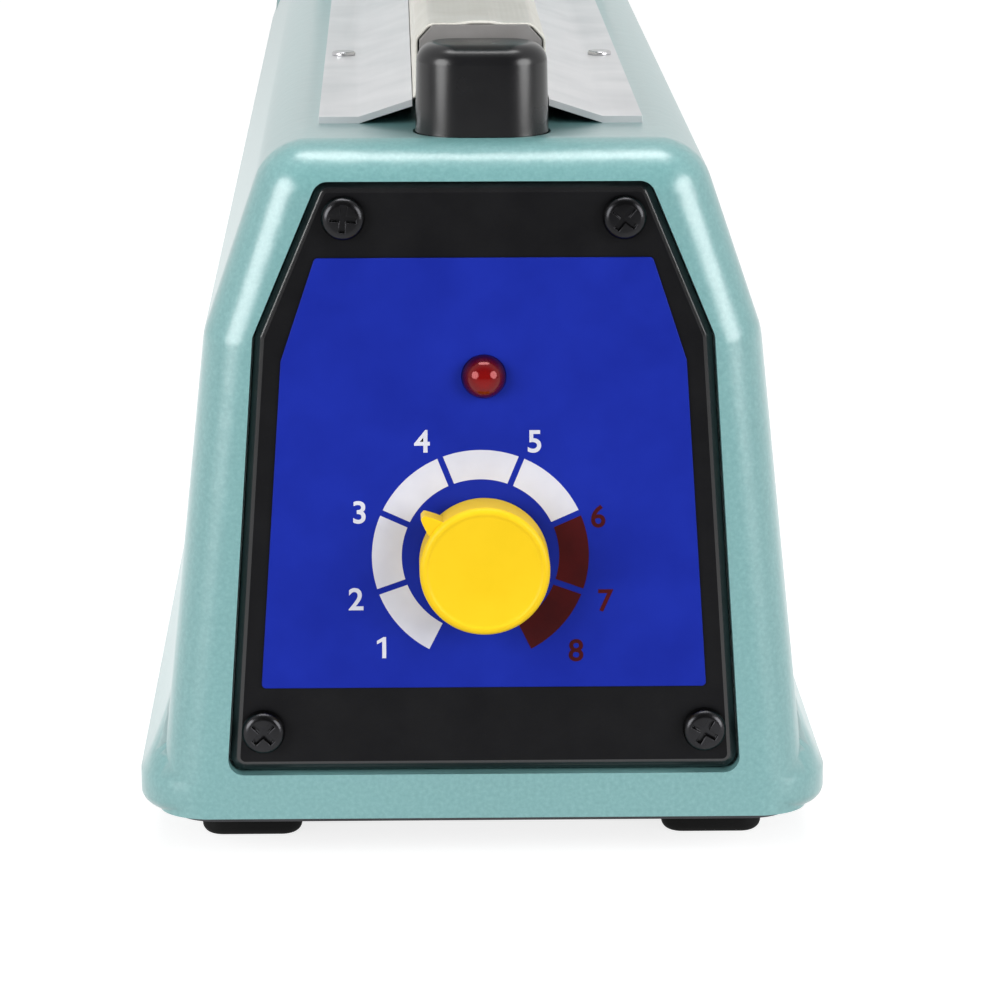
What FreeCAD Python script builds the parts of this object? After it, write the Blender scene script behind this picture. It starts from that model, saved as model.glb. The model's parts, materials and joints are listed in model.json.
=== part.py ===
import FreeCAD, Part
import math
import os

# Impulse heat sealer: a hollow metal body with a control panel at the front, a heated bar along its top
# and a spring-raised pressing arm hinged at the rear. Millimetres, +Z up, the panel faces -Y.
# The origin is under the middle of the object, on the surface that its feet stand on.

V = FreeCAD.Vector

# Body casting
BODY_LENGTH = 320.0
BODY_HEIGHT = 78.4
BASE_WIDTH = 80.0
WALL = 3.6
END_WALL = 5.0
RIM_ROUND = 6.0
WALL_FOOT_INSET = 2.3
KINK_INSET = 8.2
KINK_DROP = 21.9
KINK_ROUND = 7.0
SHOULDER_INSET = 15.7
SHOULDER_ROUND = 6.5
LIP_HEIGHT = 4.0
LIP_ROUND = 1.6
CEILING_ROUND = 2.0
SKIRT_HEIGHT = 18.0
SKIRT_INSET = 4.4
SKIRT_CURVE = 1.6
SKIRT_STEPS = 4
PLAN_ROUND = 9.0
BOSS_RADIUS = 4.6
BOSS_HEIGHT = 16.0
BOSS_END_INSET = 31.0
BOSS_SIDE_INSET = 11.0

# Base plate and feet
FOOT_HEIGHT = 4.0
FOOT_WIDTH = 11.8
FOOT_LENGTH = 14.0
FOOT_CORNER = 2.5
FOOT_SOLE_ROUND = 1.2
FOOT_SIDE_INSET = 12.8
FOOT_END_INSET = 18.3
BASE_PLATE_THICK = 1.5
BASE_PLATE_INSET = 4.0
SMALL_SCREW_RADIUS = 1.5
SMALL_HEAD_RADIUS = 2.5
SMALL_HEAD_HEIGHT = 1.6
SMALL_SCREW_LENGTH = 8.0
HEAD_ROUND_SHARE = 0.6

# Control panel
PANEL_RECESS = 1.0
PANEL_THICK = 2.5
PANEL_TOP_DROP = 4.4
PANEL_BOTTOM_RISE = 5.4
PANEL_TOP_MARGIN = 7.15
PANEL_KINK_MARGIN = 5.8
PANEL_FOOT_MARGIN = 7.7
PANEL_CORNER = 1.8
PANEL_FIT = 0.15
PANEL_LEDGE = 6.8
PANEL_SCREW_LOW_INSET = 3.7
PANEL_SCREW_HIGH_INSET = 4.5
PANEL_SCREW_RISE = 4.9
PANEL_SCREW_DROP = 4.0
CROSS_HALF_SLOT = 0.35
CROSS_REACH = 1.55
CROSS_DEPTH = 0.8
CROSS_TURNS = (45.0, 30.0, 5.0, 38.0)
LABEL_THICK = 0.3
LABEL_INSET = 3.2
LABEL_TOP_DROP = 8.6
LABEL_BOTTOM_RISE = 10.0
LABEL_CORNER = 0.5
LABEL_KINK_DROP = 2.9
LAMP_RADIUS = 2.5
LAMP_DROP = 26.6
LAMP_BODY_LENGTH = 6.0
LAMP_COLLAR = 0.5
LAMP_COLLAR_THICK = 1.0

# Timer knob and its potentiometer
KNOB_DROP = 48.0
KNOB_RADIUS = 7.4
KNOB_REACH = 5.2
KNOB_GAP = 0.4
KNOB_EDGE = 0.7
KNOB_DISH_RADIUS = 6.2
KNOB_DISH_DEPTH = 0.25
KNOB_FACE_THICK = 1.0
POINTER_REACH = 9.4
POINTER_SINK = 1.0
POINTER_HALF_WIDTH = 1.2
POINTER_TIP_HALF_WIDTH = 0.3
POINTER_ANGLE = 138.7
POINTER_HEIGHT = 3.0
SHAFT_RADIUS = 3.0
SHAFT_CLEARANCE = 0.05
BUSH_RADIUS = 4.0
POT_RADIUS = 8.0
POT_LENGTH = 9.0
POT_NUT_THICK = 1.8
POT_NUT_RADIUS = 5.6

# Timer board behind the panel
BOARD_WIDTH = 40.0
BOARD_HEIGHT = 36.0
BOARD_THICK = 1.6
BOARD_CORNER = 1.5
BOARD_STAND_OFF = 12.5
BOARD_POST_RADIUS = 2.6
BOARD_POST_INSET = 3.6
RELAY_SIZE = (15.0, 12.0, 16.0)
RELAY_START = 1.0
RELAY_CHAMFER = 0.6
CAPACITOR_RADIUS = 4.0
CAPACITOR_LENGTH = 12.0
CAPACITOR_START = 4.0
CAPACITOR_EDGE = 0.6

# Switch button at the front of the top
BUTTON_WIDTH = 15.2
BUTTON_DEPTH = 11.0
BUTTON_CORNER = 5.0
BUTTON_HEIGHT = 10.2
BUTTON_START = 5.5
BUTTON_TOP_ROUND = 2.2
BUTTON_DRAFT = 0.15
BUTTON_FIT = 0.25
BUTTON_TRAVEL = 3.0
BUTTON_FLANGE = 1.4
BUTTON_FLANGE_THICK = 2.0
STEM_RADIUS = 2.0
STEM_LENGTH = 12.0
SWITCH_SIZE = (20.0, 6.4, 10.2)
PLUNGER_RADIUS = 1.2
PLUNGER_SINK = 4.0
PLUNGER_FIT = 0.08
BRACKET_THICK = 1.5
BUTTON_SPRING_WIRE = 0.6
BUTTON_SPRING_RADIUS = 3.3
BUTTON_SPRING_TURNS = 4
BUTTON_SPRING_ROOM = 5.0

# Sealing bar along the top
BAR_START = 18.0
BAR_END_GAP = 60.0
BAR_WIDTH = 14.1
BAR_TOP_WIDTH = 11.0
BAR_HEIGHT = 11.2
BAR_CHAMFER_DROP = 1.7
BAR_NOTCH_HEIGHT = 5.5
BAR_NOTCH_DEPTH = 3.0
WIRE_WIDTH = 2.6
WIRE_THICK = 0.25
CLOTH_THICK = 0.25
CLOTH_END_INSET = 1.2
CLOTH_LOWER_GAP = 2.6
ELECTRODE_WIDTH = 9.0
ELECTRODE_THICK = 1.4

# Deck plates beside the bar
PLATE_THICK = 0.8
PLATE_FOOT_WIDTH = 4.6
PLATE_WIDTH = 10.8
PLATE_RISE = 2.0
PLATE_GAP = 0.35
PLATE_OVERRUN = 0.8
PLATE_SCREW_COUNT = 3
PLATE_SCREW_FRONT_INSET = 58.0
PLATE_SCREW_REAR_INSET = 9.0
PLATE_SCREW_RADIUS = 1.1
PLATE_HEAD_RADIUS = 1.5
PLATE_HEAD_HEIGHT = 0.5

# Rear hinge block and pin
HINGE_BLOCK_LENGTH = 24.0
HINGE_BLOCK_HEIGHT = 22.0
HINGE_BLOCK_FOOT_INSET = 9.0
HINGE_BLOCK_TOP_INSET = 13.5
HINGE_BLOCK_ROUND = 6.0
HINGE_EDGE_ROUND = 2.5
SADDLE_WIDTH = 27.0
SADDLE_FLOOR_RISE = 2.0
SADDLE_FLARE_DROP = 9.0
SADDLE_FLARE_WIDTH = 7.5
SADDLE_FLARE_ROUND = 9.0
SADDLE_FLOOR_ROUND = 1.2
PIVOT_END_INSET = 14.5
PIVOT_RISE = 12.5
PIN_RADIUS = 3.0
PIN_BOSS_RADIUS = 7.0
PIN_BOSS_INSET = 11.0
PIN_END = 3.0
CLIP_RADIUS = 5.0
CLIP_THICK = 0.9
CLIP_GROOVE = 0.6

# Pressing arm, drawn closed and then raised to its rest
ARM_OPEN_ANGLE = 10.0
ARM_WIDTH = 24.0
ARM_HEIGHT = 15.0
ARM_ROUND = 5.0
ARM_WALL = 3.0
ARM_UNDERSIDE_RISE = 4.4
ARM_FRONT_REACH = 0.5
ARM_TIP_WIDTH = 17.0
ARM_TAPER_LENGTH = 60.0
ARM_TAPER_ROUND = 40.0
ARM_TIP_ROUND = 3.0
LUG_WIDTH = 6.0
LUG_RADIUS = 9.0
TAIL_LENGTH = 11.0
REST_GAP = 0.3
PRESS_GAP = 0.3
HINGE_BUSH_WALL = 1.5
HINGE_BUSH_FLANGE = 0.6
PIN_RUNNING_FIT = 0.05
STRIP_WIDTH = 9.0
STRIP_THICK = 2.4
HOLDER_WIDTH = 13.0
HOLDER_LIP = 1.6
HOLDER_SIDE_GAP = 0.1
STRIP_END_INSET = 4.0
STRIKER_RADIUS = 2.5
STRIKER_TIP_ROUND = 0.8
STRIKER_NUT_RADIUS = 4.4
STRIKER_NUT_THICK = 2.6
GRIP_LENGTH = 46.0
GRIP_HEIGHT = 17.0
GRIP_WIDTH = 27.0
GRIP_ROUND = 6.5
GRIP_NOSE_DROP = 4.0
GRIP_FOOT_ROUND = 2.0
GRIP_REAR_STEP = 2.0
GRIP_REAR_ROUND = 1.8
GRIP_CROWN_ROUND = 30.0
GRIP_SCREW_STATION = 33.0
GRIP_SCREW_LENGTH = 6.0
LIFT_SPRING_WIRE = 1.5
LIFT_SPRING_RADIUS = 6.2
LIFT_SPRING_TURNS = 3
LIFT_SPRING_PITCH = 2.1
LIFT_SPRING_FLOOR_LEG = 12.0
LIFT_SPRING_ARM_LEG = 22.0
LIFT_SPRING_FLOOR_ANGLE = 17.0
LIFT_SPRING_ARM_ANGLE = 24.8

# Transformer, terminals and cord inlet
CORE_SIDE_ROOM = 15.0
CORE_HEIGHT = 46.0
CORE_DEPTH = 27.0
CORE_LEG = 9.0
CORE_START = 110.0
COIL_BULGE = 9.0
COIL_CLEARANCE = 0.5
STRAP_THICK = 1.5
STRAP_FOOT = 6.0
TERMINAL_SIZE = (32.0, 16.0, 14.0)
TERMINAL_START = 220.0
TERMINAL_COUNT = 4
TERMINAL_SCREW_RADIUS = 2.2
TERMINAL_SCREW_DEPTH = 1.5
GLAND_RADIUS = 8.0
GLAND_HOLE_RADIUS = 6.0
GLAND_BORE_RADIUS = 3.6
GLAND_REACH = 5.2
GLAND_RISE = 30.0
GLAND_NUT_THICK = 4.0
GLAND_NUT_RADIUS = 9.0

# How far a cutter runs past the faces that it opens
PAST = 1.0

# Levels and stations worked out from the sizes above
FRONT = -BODY_LENGTH / 2
REAR = BODY_LENGTH / 2
BODY_BOTTOM = FOOT_HEIGHT + BASE_PLATE_THICK
TOP = BODY_BOTTOM + BODY_HEIGHT
KINK = TOP - KINK_DROP
HALF_BASE = BASE_WIDTH / 2
HALF_FOOT = HALF_BASE - WALL_FOOT_INSET
HALF_KINK = HALF_BASE - KINK_INSET
HALF_SHOULDER = HALF_BASE - SHOULDER_INSET
CEILING = TOP - WALL
PANEL_FACE = FRONT + PANEL_RECESS
PANEL_BACK = PANEL_FACE + PANEL_THICK
PANEL_TOP = TOP - PANEL_TOP_DROP
PANEL_BOTTOM = BODY_BOTTOM + PANEL_BOTTOM_RISE
LEDGE_BACK = PANEL_BACK + WALL
LAMP_Z = TOP - LAMP_DROP
KNOB_Z = TOP - KNOB_DROP
BAR_FRONT = FRONT + BAR_START
BAR_TOP = TOP + BAR_HEIGHT
CLOTH_TOP = BAR_TOP + WIRE_THICK + CLOTH_THICK
BLOCK_FRONT = REAR - HINGE_BLOCK_LENGTH
BAR_REAR = BLOCK_FRONT - BAR_END_GAP
BLOCK_TOP = TOP + HINGE_BLOCK_HEIGHT
SADDLE_FLOOR = TOP + SADDLE_FLOOR_RISE
PIN_BOSS_REACH = HALF_BASE - PIN_BOSS_INSET
PIVOT_Y = REAR - PIVOT_END_INSET
PIVOT_Z = TOP + PIVOT_RISE
CORE_WIDTH = BASE_WIDTH - 2 * CORE_SIDE_ROOM
ARM_BOTTOM = CLOTH_TOP + PRESS_GAP + ARM_UNDERSIDE_RISE
ARM_TOP = ARM_BOTTOM + ARM_HEIGHT
ARM_FRONT = FRONT - ARM_FRONT_REACH
BUTTON_Y = FRONT + BUTTON_START + BUTTON_DEPTH / 2
BUTTON_TOP = TOP + BUTTON_HEIGHT


# Drawing helpers

def place(plane, u, v, level):
    """Point (u, v) of a drawing plane that stands at the given level."""
    return {"xz": V(u, level, v), "xy": V(u, v, level), "yz": V(level, u, v)}[plane]


def outline(plane, corners, level):
    """Closed wire through corners (u, v, radius), with each corner rounded by a tangent arc."""
    edges = []
    last = None
    first = None
    count = len(corners)
    for index, (u, v, radius) in enumerate(corners):
        here = place(plane, u, v, level)
        before = place(plane, *corners[index - 1][:2], level) - here
        after = place(plane, *corners[(index + 1) % count][:2], level) - here
        before.normalize()
        after.normalize()
        if radius > 0:
            half = before.getAngle(after) / 2
            start = here + before * (radius / math.tan(half))
            end = here + after * (radius / math.tan(half))
            inward = before + after
            inward.normalize()
            middle = here + inward * (radius / math.sin(half) - radius)
            arc = Part.Arc(start, middle, end).toShape()
        else:
            start = here
            end = here
            arc = None
        if last is not None and last.distanceToPoint(start) > 1e-6:
            edges.append(Part.LineSegment(last, start).toShape())
        if arc is not None:
            edges.append(arc)
        if first is None:
            first = start
        last = end
    if last.distanceToPoint(first) > 1e-6:
        edges.append(Part.LineSegment(last, first).toShape())
    return Part.Wire(edges)


def prism(plane, corners, start, end):
    """Solid of a rounded outline carried from one level to another."""
    normal = {"xz": V(0, 1, 0), "xy": V(0, 0, 1), "yz": V(1, 0, 0)}[plane]
    return Part.Face(outline(plane, corners, start)).extrude(normal * (end - start))


def box(x, y, z):
    """Box between the low and high value on each axis."""
    return Part.makeBox(x[1] - x[0], y[1] - y[0], z[1] - z[0], V(x[0], y[0], z[0]))


def rod(radius, start, end):
    """Cylinder between two points."""
    along = end - start
    return Part.makeCylinder(radius, along.Length, start, along)


def rectangle(half_u, low_v, high_v, radius):
    """Corners of a rectangle that is symmetric in u."""
    return [(-half_u, low_v, radius), (half_u, low_v, radius),
            (half_u, high_v, radius), (-half_u, high_v, radius)]


def hexagon(u, v, radius):
    """Corners of a hexagon about a point."""
    turns = [index * math.pi / 3 for index in range(6)]
    return [(u + radius * math.cos(turn), v + radius * math.sin(turn), 0) for turn in turns]


def mirrored(right_side):
    """Corners of a symmetric outline from those of its right side, given from the bottom up."""
    return right_side + [(-u, v, r) for u, v, r in reversed(right_side)]


def screw(head, direction, head_radius, head_height, shank_radius, length):
    """Pan-head screw whose head seats at a point and whose shank runs along a direction."""
    along = V(direction)
    along.normalize()
    cap = rod(head_radius, head, head - along * head_height)
    rim = [e for e in cap.Edges
           if len(e.Vertexes) == 1 and e.CenterOfMass.distanceToPoint(head) > head_height / 2]
    cap = cap.makeFillet(head_height * HEAD_ROUND_SHARE, rim)
    return cap.fuse(rod(shank_radius, head, head + along * length)).removeSplitter()


def small_screw(head, direction):
    return screw(head, direction, SMALL_HEAD_RADIUS, SMALL_HEAD_HEIGHT,
                 SMALL_SCREW_RADIUS, SMALL_SCREW_LENGTH)


def group(solids):
    return Part.makeCompound(solids)


def arc_from(start, corner, end):
    """Arc from start to end that is tangent to the lines from both to a corner, equally far from them."""
    chord_middle = (start + end) * 0.5
    reach = corner.distanceToPoint(start)
    half_chord = chord_middle.distanceToPoint(start)
    height = corner.distanceToPoint(chord_middle)
    radius = reach * half_chord / height
    towards = chord_middle - corner
    towards.normalize()
    middle = corner + towards * (math.hypot(radius, reach) - radius)
    return Part.Arc(start, middle, end).toShape()


def biarc(start, leaving, end, arriving):
    """Two arcs that join two points and follow the given unit directions there."""
    span = end - start
    both = leaving + arriving
    slack = 2 * (1 - leaving.dot(arriving))
    along = span.dot(both)
    reach = (math.sqrt(along * along + slack * span.dot(span)) - along) / slack
    first_corner = start + leaving * reach
    second_corner = end - arriving * reach
    joint = (first_corner + second_corner) * 0.5
    return [arc_from(start, first_corner, joint), arc_from(joint, second_corner, end)]


def helix_edges(radius, pitch, turns, start_angle):
    """Arcs of a helix about +Z, a biarc to each part of a turn, with its first and last station."""
    count = math.ceil(turns * 4)
    step = 2 * math.pi * turns / count
    rise = pitch / (2 * math.pi * radius)

    def station(index):
        angle = start_angle + index * step
        point = V(radius * math.cos(angle), radius * math.sin(angle), pitch * turns * index / count)
        heading = V(-math.sin(angle), math.cos(angle), rise)
        heading.normalize()
        return point, heading

    edges = []
    for index in range(count):
        edges += biarc(*station(index), *station(index + 1))
    return edges, station(0), station(count)


def wire_form(edges, start, heading, wire_radius, name, pitch):
    """Round wire swept along a path, with the least gap between turns printed."""
    path = Part.Wire(edges)
    section = Part.Wire(Part.makeCircle(wire_radius, start, heading))
    shape = path.makePipeShell([section], True, False)
    gap = pitch - 2 * wire_radius
    expected = math.pi * wire_radius ** 2 * path.Length
    print(f"{name}: least gap between turns {gap:.2f} mm, volume {shape.Volume:.1f} against {expected:.1f}")
    return shape


# Body casting

def wall_half(z):
    """Half width of the lower walls at a height."""
    return HALF_FOOT + (HALF_KINK - HALF_FOOT) * (z - BODY_BOTTOM) / (KINK - BODY_BOTTOM)


def shoulder_half(z):
    """Half width of the inclined shoulders at a height."""
    return HALF_KINK + (HALF_SHOULDER - HALF_KINK) * (z - KINK) / (TOP - KINK)


def plan_corners(inset, radius):
    half = HALF_BASE - inset
    return rectangle(half, FRONT + inset, REAR - inset, radius)


def body_outer():
    section = mirrored([(HALF_FOOT, BODY_BOTTOM, 0), (HALF_KINK, KINK, KINK_ROUND),
                        (HALF_SHOULDER, TOP, SHOULDER_ROUND)])
    walls = prism("xz", section, FRONT, REAR)
    rims = [e for e in walls.Edges
            if abs(abs(e.CenterOfMass.y) - BODY_LENGTH / 2) < 1e-3 and e.CenterOfMass.z > BODY_BOTTOM + 1]
    walls = walls.makeFillet(RIM_ROUND, rims)
    lip_top = BODY_BOTTOM + LIP_HEIGHT
    lip = prism("xy", plan_corners(0, PLAN_ROUND), BODY_BOTTOM, lip_top)
    lip = lip.makeFillet(LIP_ROUND, [e for e in lip.Edges if abs(e.CenterOfMass.z - BODY_BOTTOM) < 1e-6])
    levels = []
    for index in range(SKIRT_STEPS + 1):
        share = index / SKIRT_STEPS
        inset = SKIRT_INSET * (1 - (1 - share) ** SKIRT_CURVE)
        level = lip_top + (SKIRT_HEIGHT - LIP_HEIGHT) * share
        levels.append(outline("xy", plan_corners(inset, PLAN_ROUND - inset / 2), level))
    skirt = Part.makeLoft(levels, True, False)
    return walls.fuse([lip, skirt])


def hinge_block():
    foot = HALF_BASE - HINGE_BLOCK_FOOT_INSET
    top = HALF_BASE - HINGE_BLOCK_TOP_INSET
    sides = mirrored([(foot, KINK, 0), (top, BLOCK_TOP, HINGE_BLOCK_ROUND)])
    block = prism("xz", sides, BLOCK_FRONT, REAR - RIM_ROUND)
    ends = [e for e in block.Edges if e.CenterOfMass.z > TOP + 1
            and min(abs(e.CenterOfMass.y - BLOCK_FRONT), abs(e.CenterOfMass.y - REAR + RIM_ROUND)) < 1e-3]
    block = block.makeFillet(HINGE_EDGE_ROUND, ends)
    pin_boss = rod(PIN_BOSS_RADIUS, V(-PIN_BOSS_REACH, PIVOT_Y, PIVOT_Z), V(PIN_BOSS_REACH, PIVOT_Y, PIVOT_Z))
    half = SADDLE_WIDTH / 2
    flare = BLOCK_TOP - SADDLE_FLARE_DROP
    above = BLOCK_TOP + RIM_ROUND
    saddle = mirrored([(half, SADDLE_FLOOR, SADDLE_FLOOR_ROUND), (half, flare, SADDLE_FLARE_ROUND),
                       (half + SADDLE_FLARE_WIDTH, above, 0)])
    return block.fuse(pin_boss).cut(prism("xz", saddle, BLOCK_FRONT - PAST, REAR + PAST))


def boss_places():
    side = HALF_BASE - BOSS_SIDE_INSET
    stations = (FRONT + BOSS_END_INSET, REAR - BOSS_END_INSET)
    return [V(sx * side, y, BODY_BOTTOM) for sx in (-1, 1) for y in stations]


def foot_places():
    side = HALF_BASE - FOOT_SIDE_INSET
    stations = (FRONT + FOOT_END_INSET, REAR - FOOT_END_INSET)
    return [V(sx * side, y, FOOT_HEIGHT) for sx in (-1, 1) for y in stations]


def panel_half(z):
    """Half width of the panel's outline at a height."""
    kink = HALF_KINK - PANEL_KINK_MARGIN
    if z > KINK:
        top = shoulder_half(PANEL_TOP) - PANEL_TOP_MARGIN
        return kink + (top - kink) * (z - KINK) / (PANEL_TOP - KINK)
    foot = wall_half(PANEL_BOTTOM) - PANEL_FOOT_MARGIN
    return kink + (foot - kink) * (KINK - z) / (KINK - PANEL_BOTTOM)


def panel_corners(inset, low, kink, high, radius):
    """Corners of an outline that follows the panel's edge at an inset, at its foot, kink and top."""
    return mirrored([(panel_half(z) - inset, z, radius) for z in (low, kink, high)])


def panel_screw_places():
    low = PANEL_BOTTOM + PANEL_SCREW_RISE
    high = PANEL_TOP - PANEL_SCREW_DROP
    low_half = panel_half(low) - PANEL_SCREW_LOW_INSET
    high_half = panel_half(high) - PANEL_SCREW_HIGH_INSET
    return [V(sx * half, PANEL_FACE, z) for half, z in ((low_half, low), (high_half, high)) for sx in (-1, 1)]


def button_corners(extra):
    half = BUTTON_WIDTH / 2 + extra
    return rectangle(half, BUTTON_Y - BUTTON_DEPTH / 2 - extra, BUTTON_Y + BUTTON_DEPTH / 2 + extra,
                     BUTTON_CORNER + extra)


def plate_screw_stations():
    first = BAR_FRONT + PLATE_SCREW_FRONT_INSET
    pitch = (BAR_REAR - PLATE_SCREW_REAR_INSET - first) / (PLATE_SCREW_COUNT - 1)
    return [first + index * pitch for index in range(PLATE_SCREW_COUNT)]


def body_casting():
    body = body_outer().fuse(hinge_block())
    inner = mirrored([(HALF_FOOT - WALL, BODY_BOTTOM - PAST, 0), (HALF_KINK - WALL, KINK, KINK_ROUND),
                      (HALF_SHOULDER - WALL, CEILING, CEILING_ROUND)])
    recess = panel_corners(-PANEL_FIT, PANEL_BOTTOM - PANEL_FIT, KINK, PANEL_TOP + PANEL_FIT, PANEL_CORNER)
    opening = panel_corners(PANEL_LEDGE, PANEL_BOTTOM + PANEL_LEDGE, KINK, PANEL_TOP - PANEL_LEDGE,
                            PANEL_CORNER)
    pocket_half = bracket_half() + BUTTON_FIT
    body = body.cut(prism("xz", inner, LEDGE_BACK, REAR - END_WALL))
    body = body.cut(prism("xz", recess, FRONT - PAST, PANEL_BACK))
    body = body.cut(prism("xz", opening, FRONT, LEDGE_BACK + PAST))
    body = body.cut(box((-pocket_half, pocket_half), (PANEL_BACK, LEDGE_BACK + PAST),
                        (PANEL_TOP - PANEL_LEDGE - PAST, CEILING)))
    bosses = [rod(BOSS_RADIUS, p, p + V(0, 0, BOSS_HEIGHT)) for p in boss_places()]
    body = body.fuse(bosses)
    holes = [rod(SMALL_SCREW_RADIUS, p, p + V(0, 0, SMALL_SCREW_LENGTH)) for p in boss_places()]
    deep = V(0, SMALL_SCREW_LENGTH + PANEL_THICK, 0)
    holes += [rod(SMALL_SCREW_RADIUS, p, p + deep) for p in panel_screw_places()]
    pin_reach = PIN_BOSS_REACH + PAST
    holes.append(rod(PIN_RADIUS, V(-pin_reach, PIVOT_Y, PIVOT_Z), V(pin_reach, PIVOT_Y, PIVOT_Z)))
    gland_z = BODY_BOTTOM + GLAND_RISE
    holes.append(rod(GLAND_HOLE_RADIUS, V(0, REAR - END_WALL - PAST, gland_z), V(0, REAR + PAST, gland_z)))
    holes.append(prism("xy", button_corners(BUTTON_FIT), CEILING - PAST, TOP + PAST))
    for y in plate_screw_stations():
        for sx in (-1, 1):
            x = sx * plate_screw_x()
            holes.append(rod(PLATE_SCREW_RADIUS, V(x, y, CEILING - PAST), V(x, y, TOP + PAST)))
    return body.cut(holes).removeSplitter()


def base_plate():
    corners = plan_corners(BASE_PLATE_INSET, PLAN_ROUND - BASE_PLATE_INSET)
    plate = prism("xy", corners, FOOT_HEIGHT, BODY_BOTTOM)
    drills = [rod(SMALL_SCREW_RADIUS, p - V(0, 0, BASE_PLATE_THICK), p) for p in boss_places()]
    drills += [rod(SMALL_SCREW_RADIUS, p, p + V(0, 0, BASE_PLATE_THICK)) for p in foot_places()]
    drills += [rod(SMALL_SCREW_RADIUS, p - V(0, 0, BASE_PLATE_THICK), p) for p in strap_screw_places()]
    return plate.cut(drills)


def rubber_feet():
    feet = []
    for p in foot_places():
        sole = rectangle(FOOT_WIDTH / 2, p.y - FOOT_LENGTH / 2, p.y + FOOT_LENGTH / 2, FOOT_CORNER)
        foot = prism("xy", [(p.x + u, v, radius) for u, v, radius in sole], 0, FOOT_HEIGHT)
        foot = foot.makeFillet(FOOT_SOLE_ROUND, [e for e in foot.Edges if e.BoundBox.ZMax < FOOT_SOLE_ROUND])
        well = rod(SMALL_HEAD_RADIUS + PANEL_FIT, V(p.x, p.y, 0), V(p.x, p.y, FOOT_HEIGHT / 2))
        feet.append(foot.cut([well, rod(SMALL_SCREW_RADIUS, V(p.x, p.y, 0), p)]))
    return group(feet)


def feet_screws():
    seat = V(0, 0, FOOT_HEIGHT / 2)
    return group([small_screw(p - seat, V(0, 0, 1)) for p in foot_places()])


def base_screws():
    return group([small_screw(p - V(0, 0, BASE_PLATE_THICK), V(0, 0, 1)) for p in boss_places()])


# Control panel

def board_post_places():
    half = BOARD_WIDTH / 2 - BOARD_POST_INSET
    low = KNOB_Z - BOARD_HEIGHT / 2 + BOARD_POST_INSET
    high = KNOB_Z + BOARD_HEIGHT / 2 - BOARD_POST_INSET
    return [V(sx * half, PANEL_BACK + BOARD_STAND_OFF, z) for z in (low, high) for sx in (-1, 1)]


def front_bezel():
    plate = prism("xz", panel_corners(0, PANEL_BOTTOM, KINK, PANEL_TOP, PANEL_CORNER), PANEL_FACE, PANEL_BACK)
    posts = [rod(BOARD_POST_RADIUS, V(p.x, PANEL_BACK, p.z), p) for p in board_post_places()]
    plate = plate.fuse(posts)
    holes = [rod(SMALL_SCREW_RADIUS, p, p + V(0, PANEL_THICK, 0)) for p in panel_screw_places()]
    holes.append(rod(BUSH_RADIUS, V(0, PANEL_FACE, KNOB_Z), V(0, PANEL_BACK, KNOB_Z)))
    holes.append(rod(LAMP_RADIUS, V(0, PANEL_FACE, LAMP_Z), V(0, PANEL_BACK, LAMP_Z)))
    holes += [rod(SMALL_SCREW_RADIUS, p, p - V(0, SMALL_SCREW_LENGTH, 0)) for p in board_post_places()]
    return plate.cut(holes)


def panel_label():
    low = PANEL_BOTTOM + LABEL_BOTTOM_RISE
    high = PANEL_TOP - LABEL_TOP_DROP
    corners = panel_corners(LABEL_INSET, low, KINK - LABEL_KINK_DROP, high, LABEL_CORNER)
    sheet = prism("xz", corners, PANEL_FACE - LABEL_THICK, PANEL_FACE)
    holes = [rod(POT_NUT_RADIUS + PANEL_FIT, V(0, FRONT, KNOB_Z), V(0, PANEL_BACK, KNOB_Z)),
             rod(LAMP_RADIUS, V(0, FRONT, LAMP_Z), V(0, PANEL_BACK, LAMP_Z))]
    return sheet.cut(holes)


def panel_screws():
    screws = []
    for p, turn in zip(panel_screw_places(), CROSS_TURNS):
        one = small_screw(p, V(0, 1, 0))
        depth = (p.y - SMALL_HEAD_HEIGHT, p.y - SMALL_HEAD_HEIGHT + CROSS_DEPTH)
        cross = []
        for half_x, half_z in ((CROSS_REACH, CROSS_HALF_SLOT), (CROSS_HALF_SLOT, CROSS_REACH)):
            cross.append(box((p.x - half_x, p.x + half_x), depth, (p.z - half_z, p.z + half_z)))
        driven = one.cut(cross)
        driven.rotate(p, V(0, 1, 0), turn)
        screws.append(driven)
    return group(screws)


def indicator_lamp():
    centre = V(0, PANEL_FACE - LABEL_THICK, LAMP_Z)
    front_half = box((-LAMP_RADIUS, LAMP_RADIUS), (centre.y - LAMP_RADIUS, centre.y),
                     (LAMP_Z - LAMP_RADIUS, LAMP_Z + LAMP_RADIUS))
    dome = Part.makeSphere(LAMP_RADIUS, centre).common(front_half)
    stem = rod(LAMP_RADIUS, centre, centre + V(0, LAMP_BODY_LENGTH, 0))
    collar_back = PANEL_BACK + LAMP_COLLAR_THICK
    collar = rod(LAMP_RADIUS + LAMP_COLLAR, V(0, PANEL_BACK, LAMP_Z), V(0, collar_back, LAMP_Z))
    return dome.fuse([stem, collar]).removeSplitter()


# Timer knob and potentiometer

def knob_front():
    return FRONT - KNOB_REACH


def knob_back():
    return PANEL_FACE - LABEL_THICK - KNOB_GAP


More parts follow.
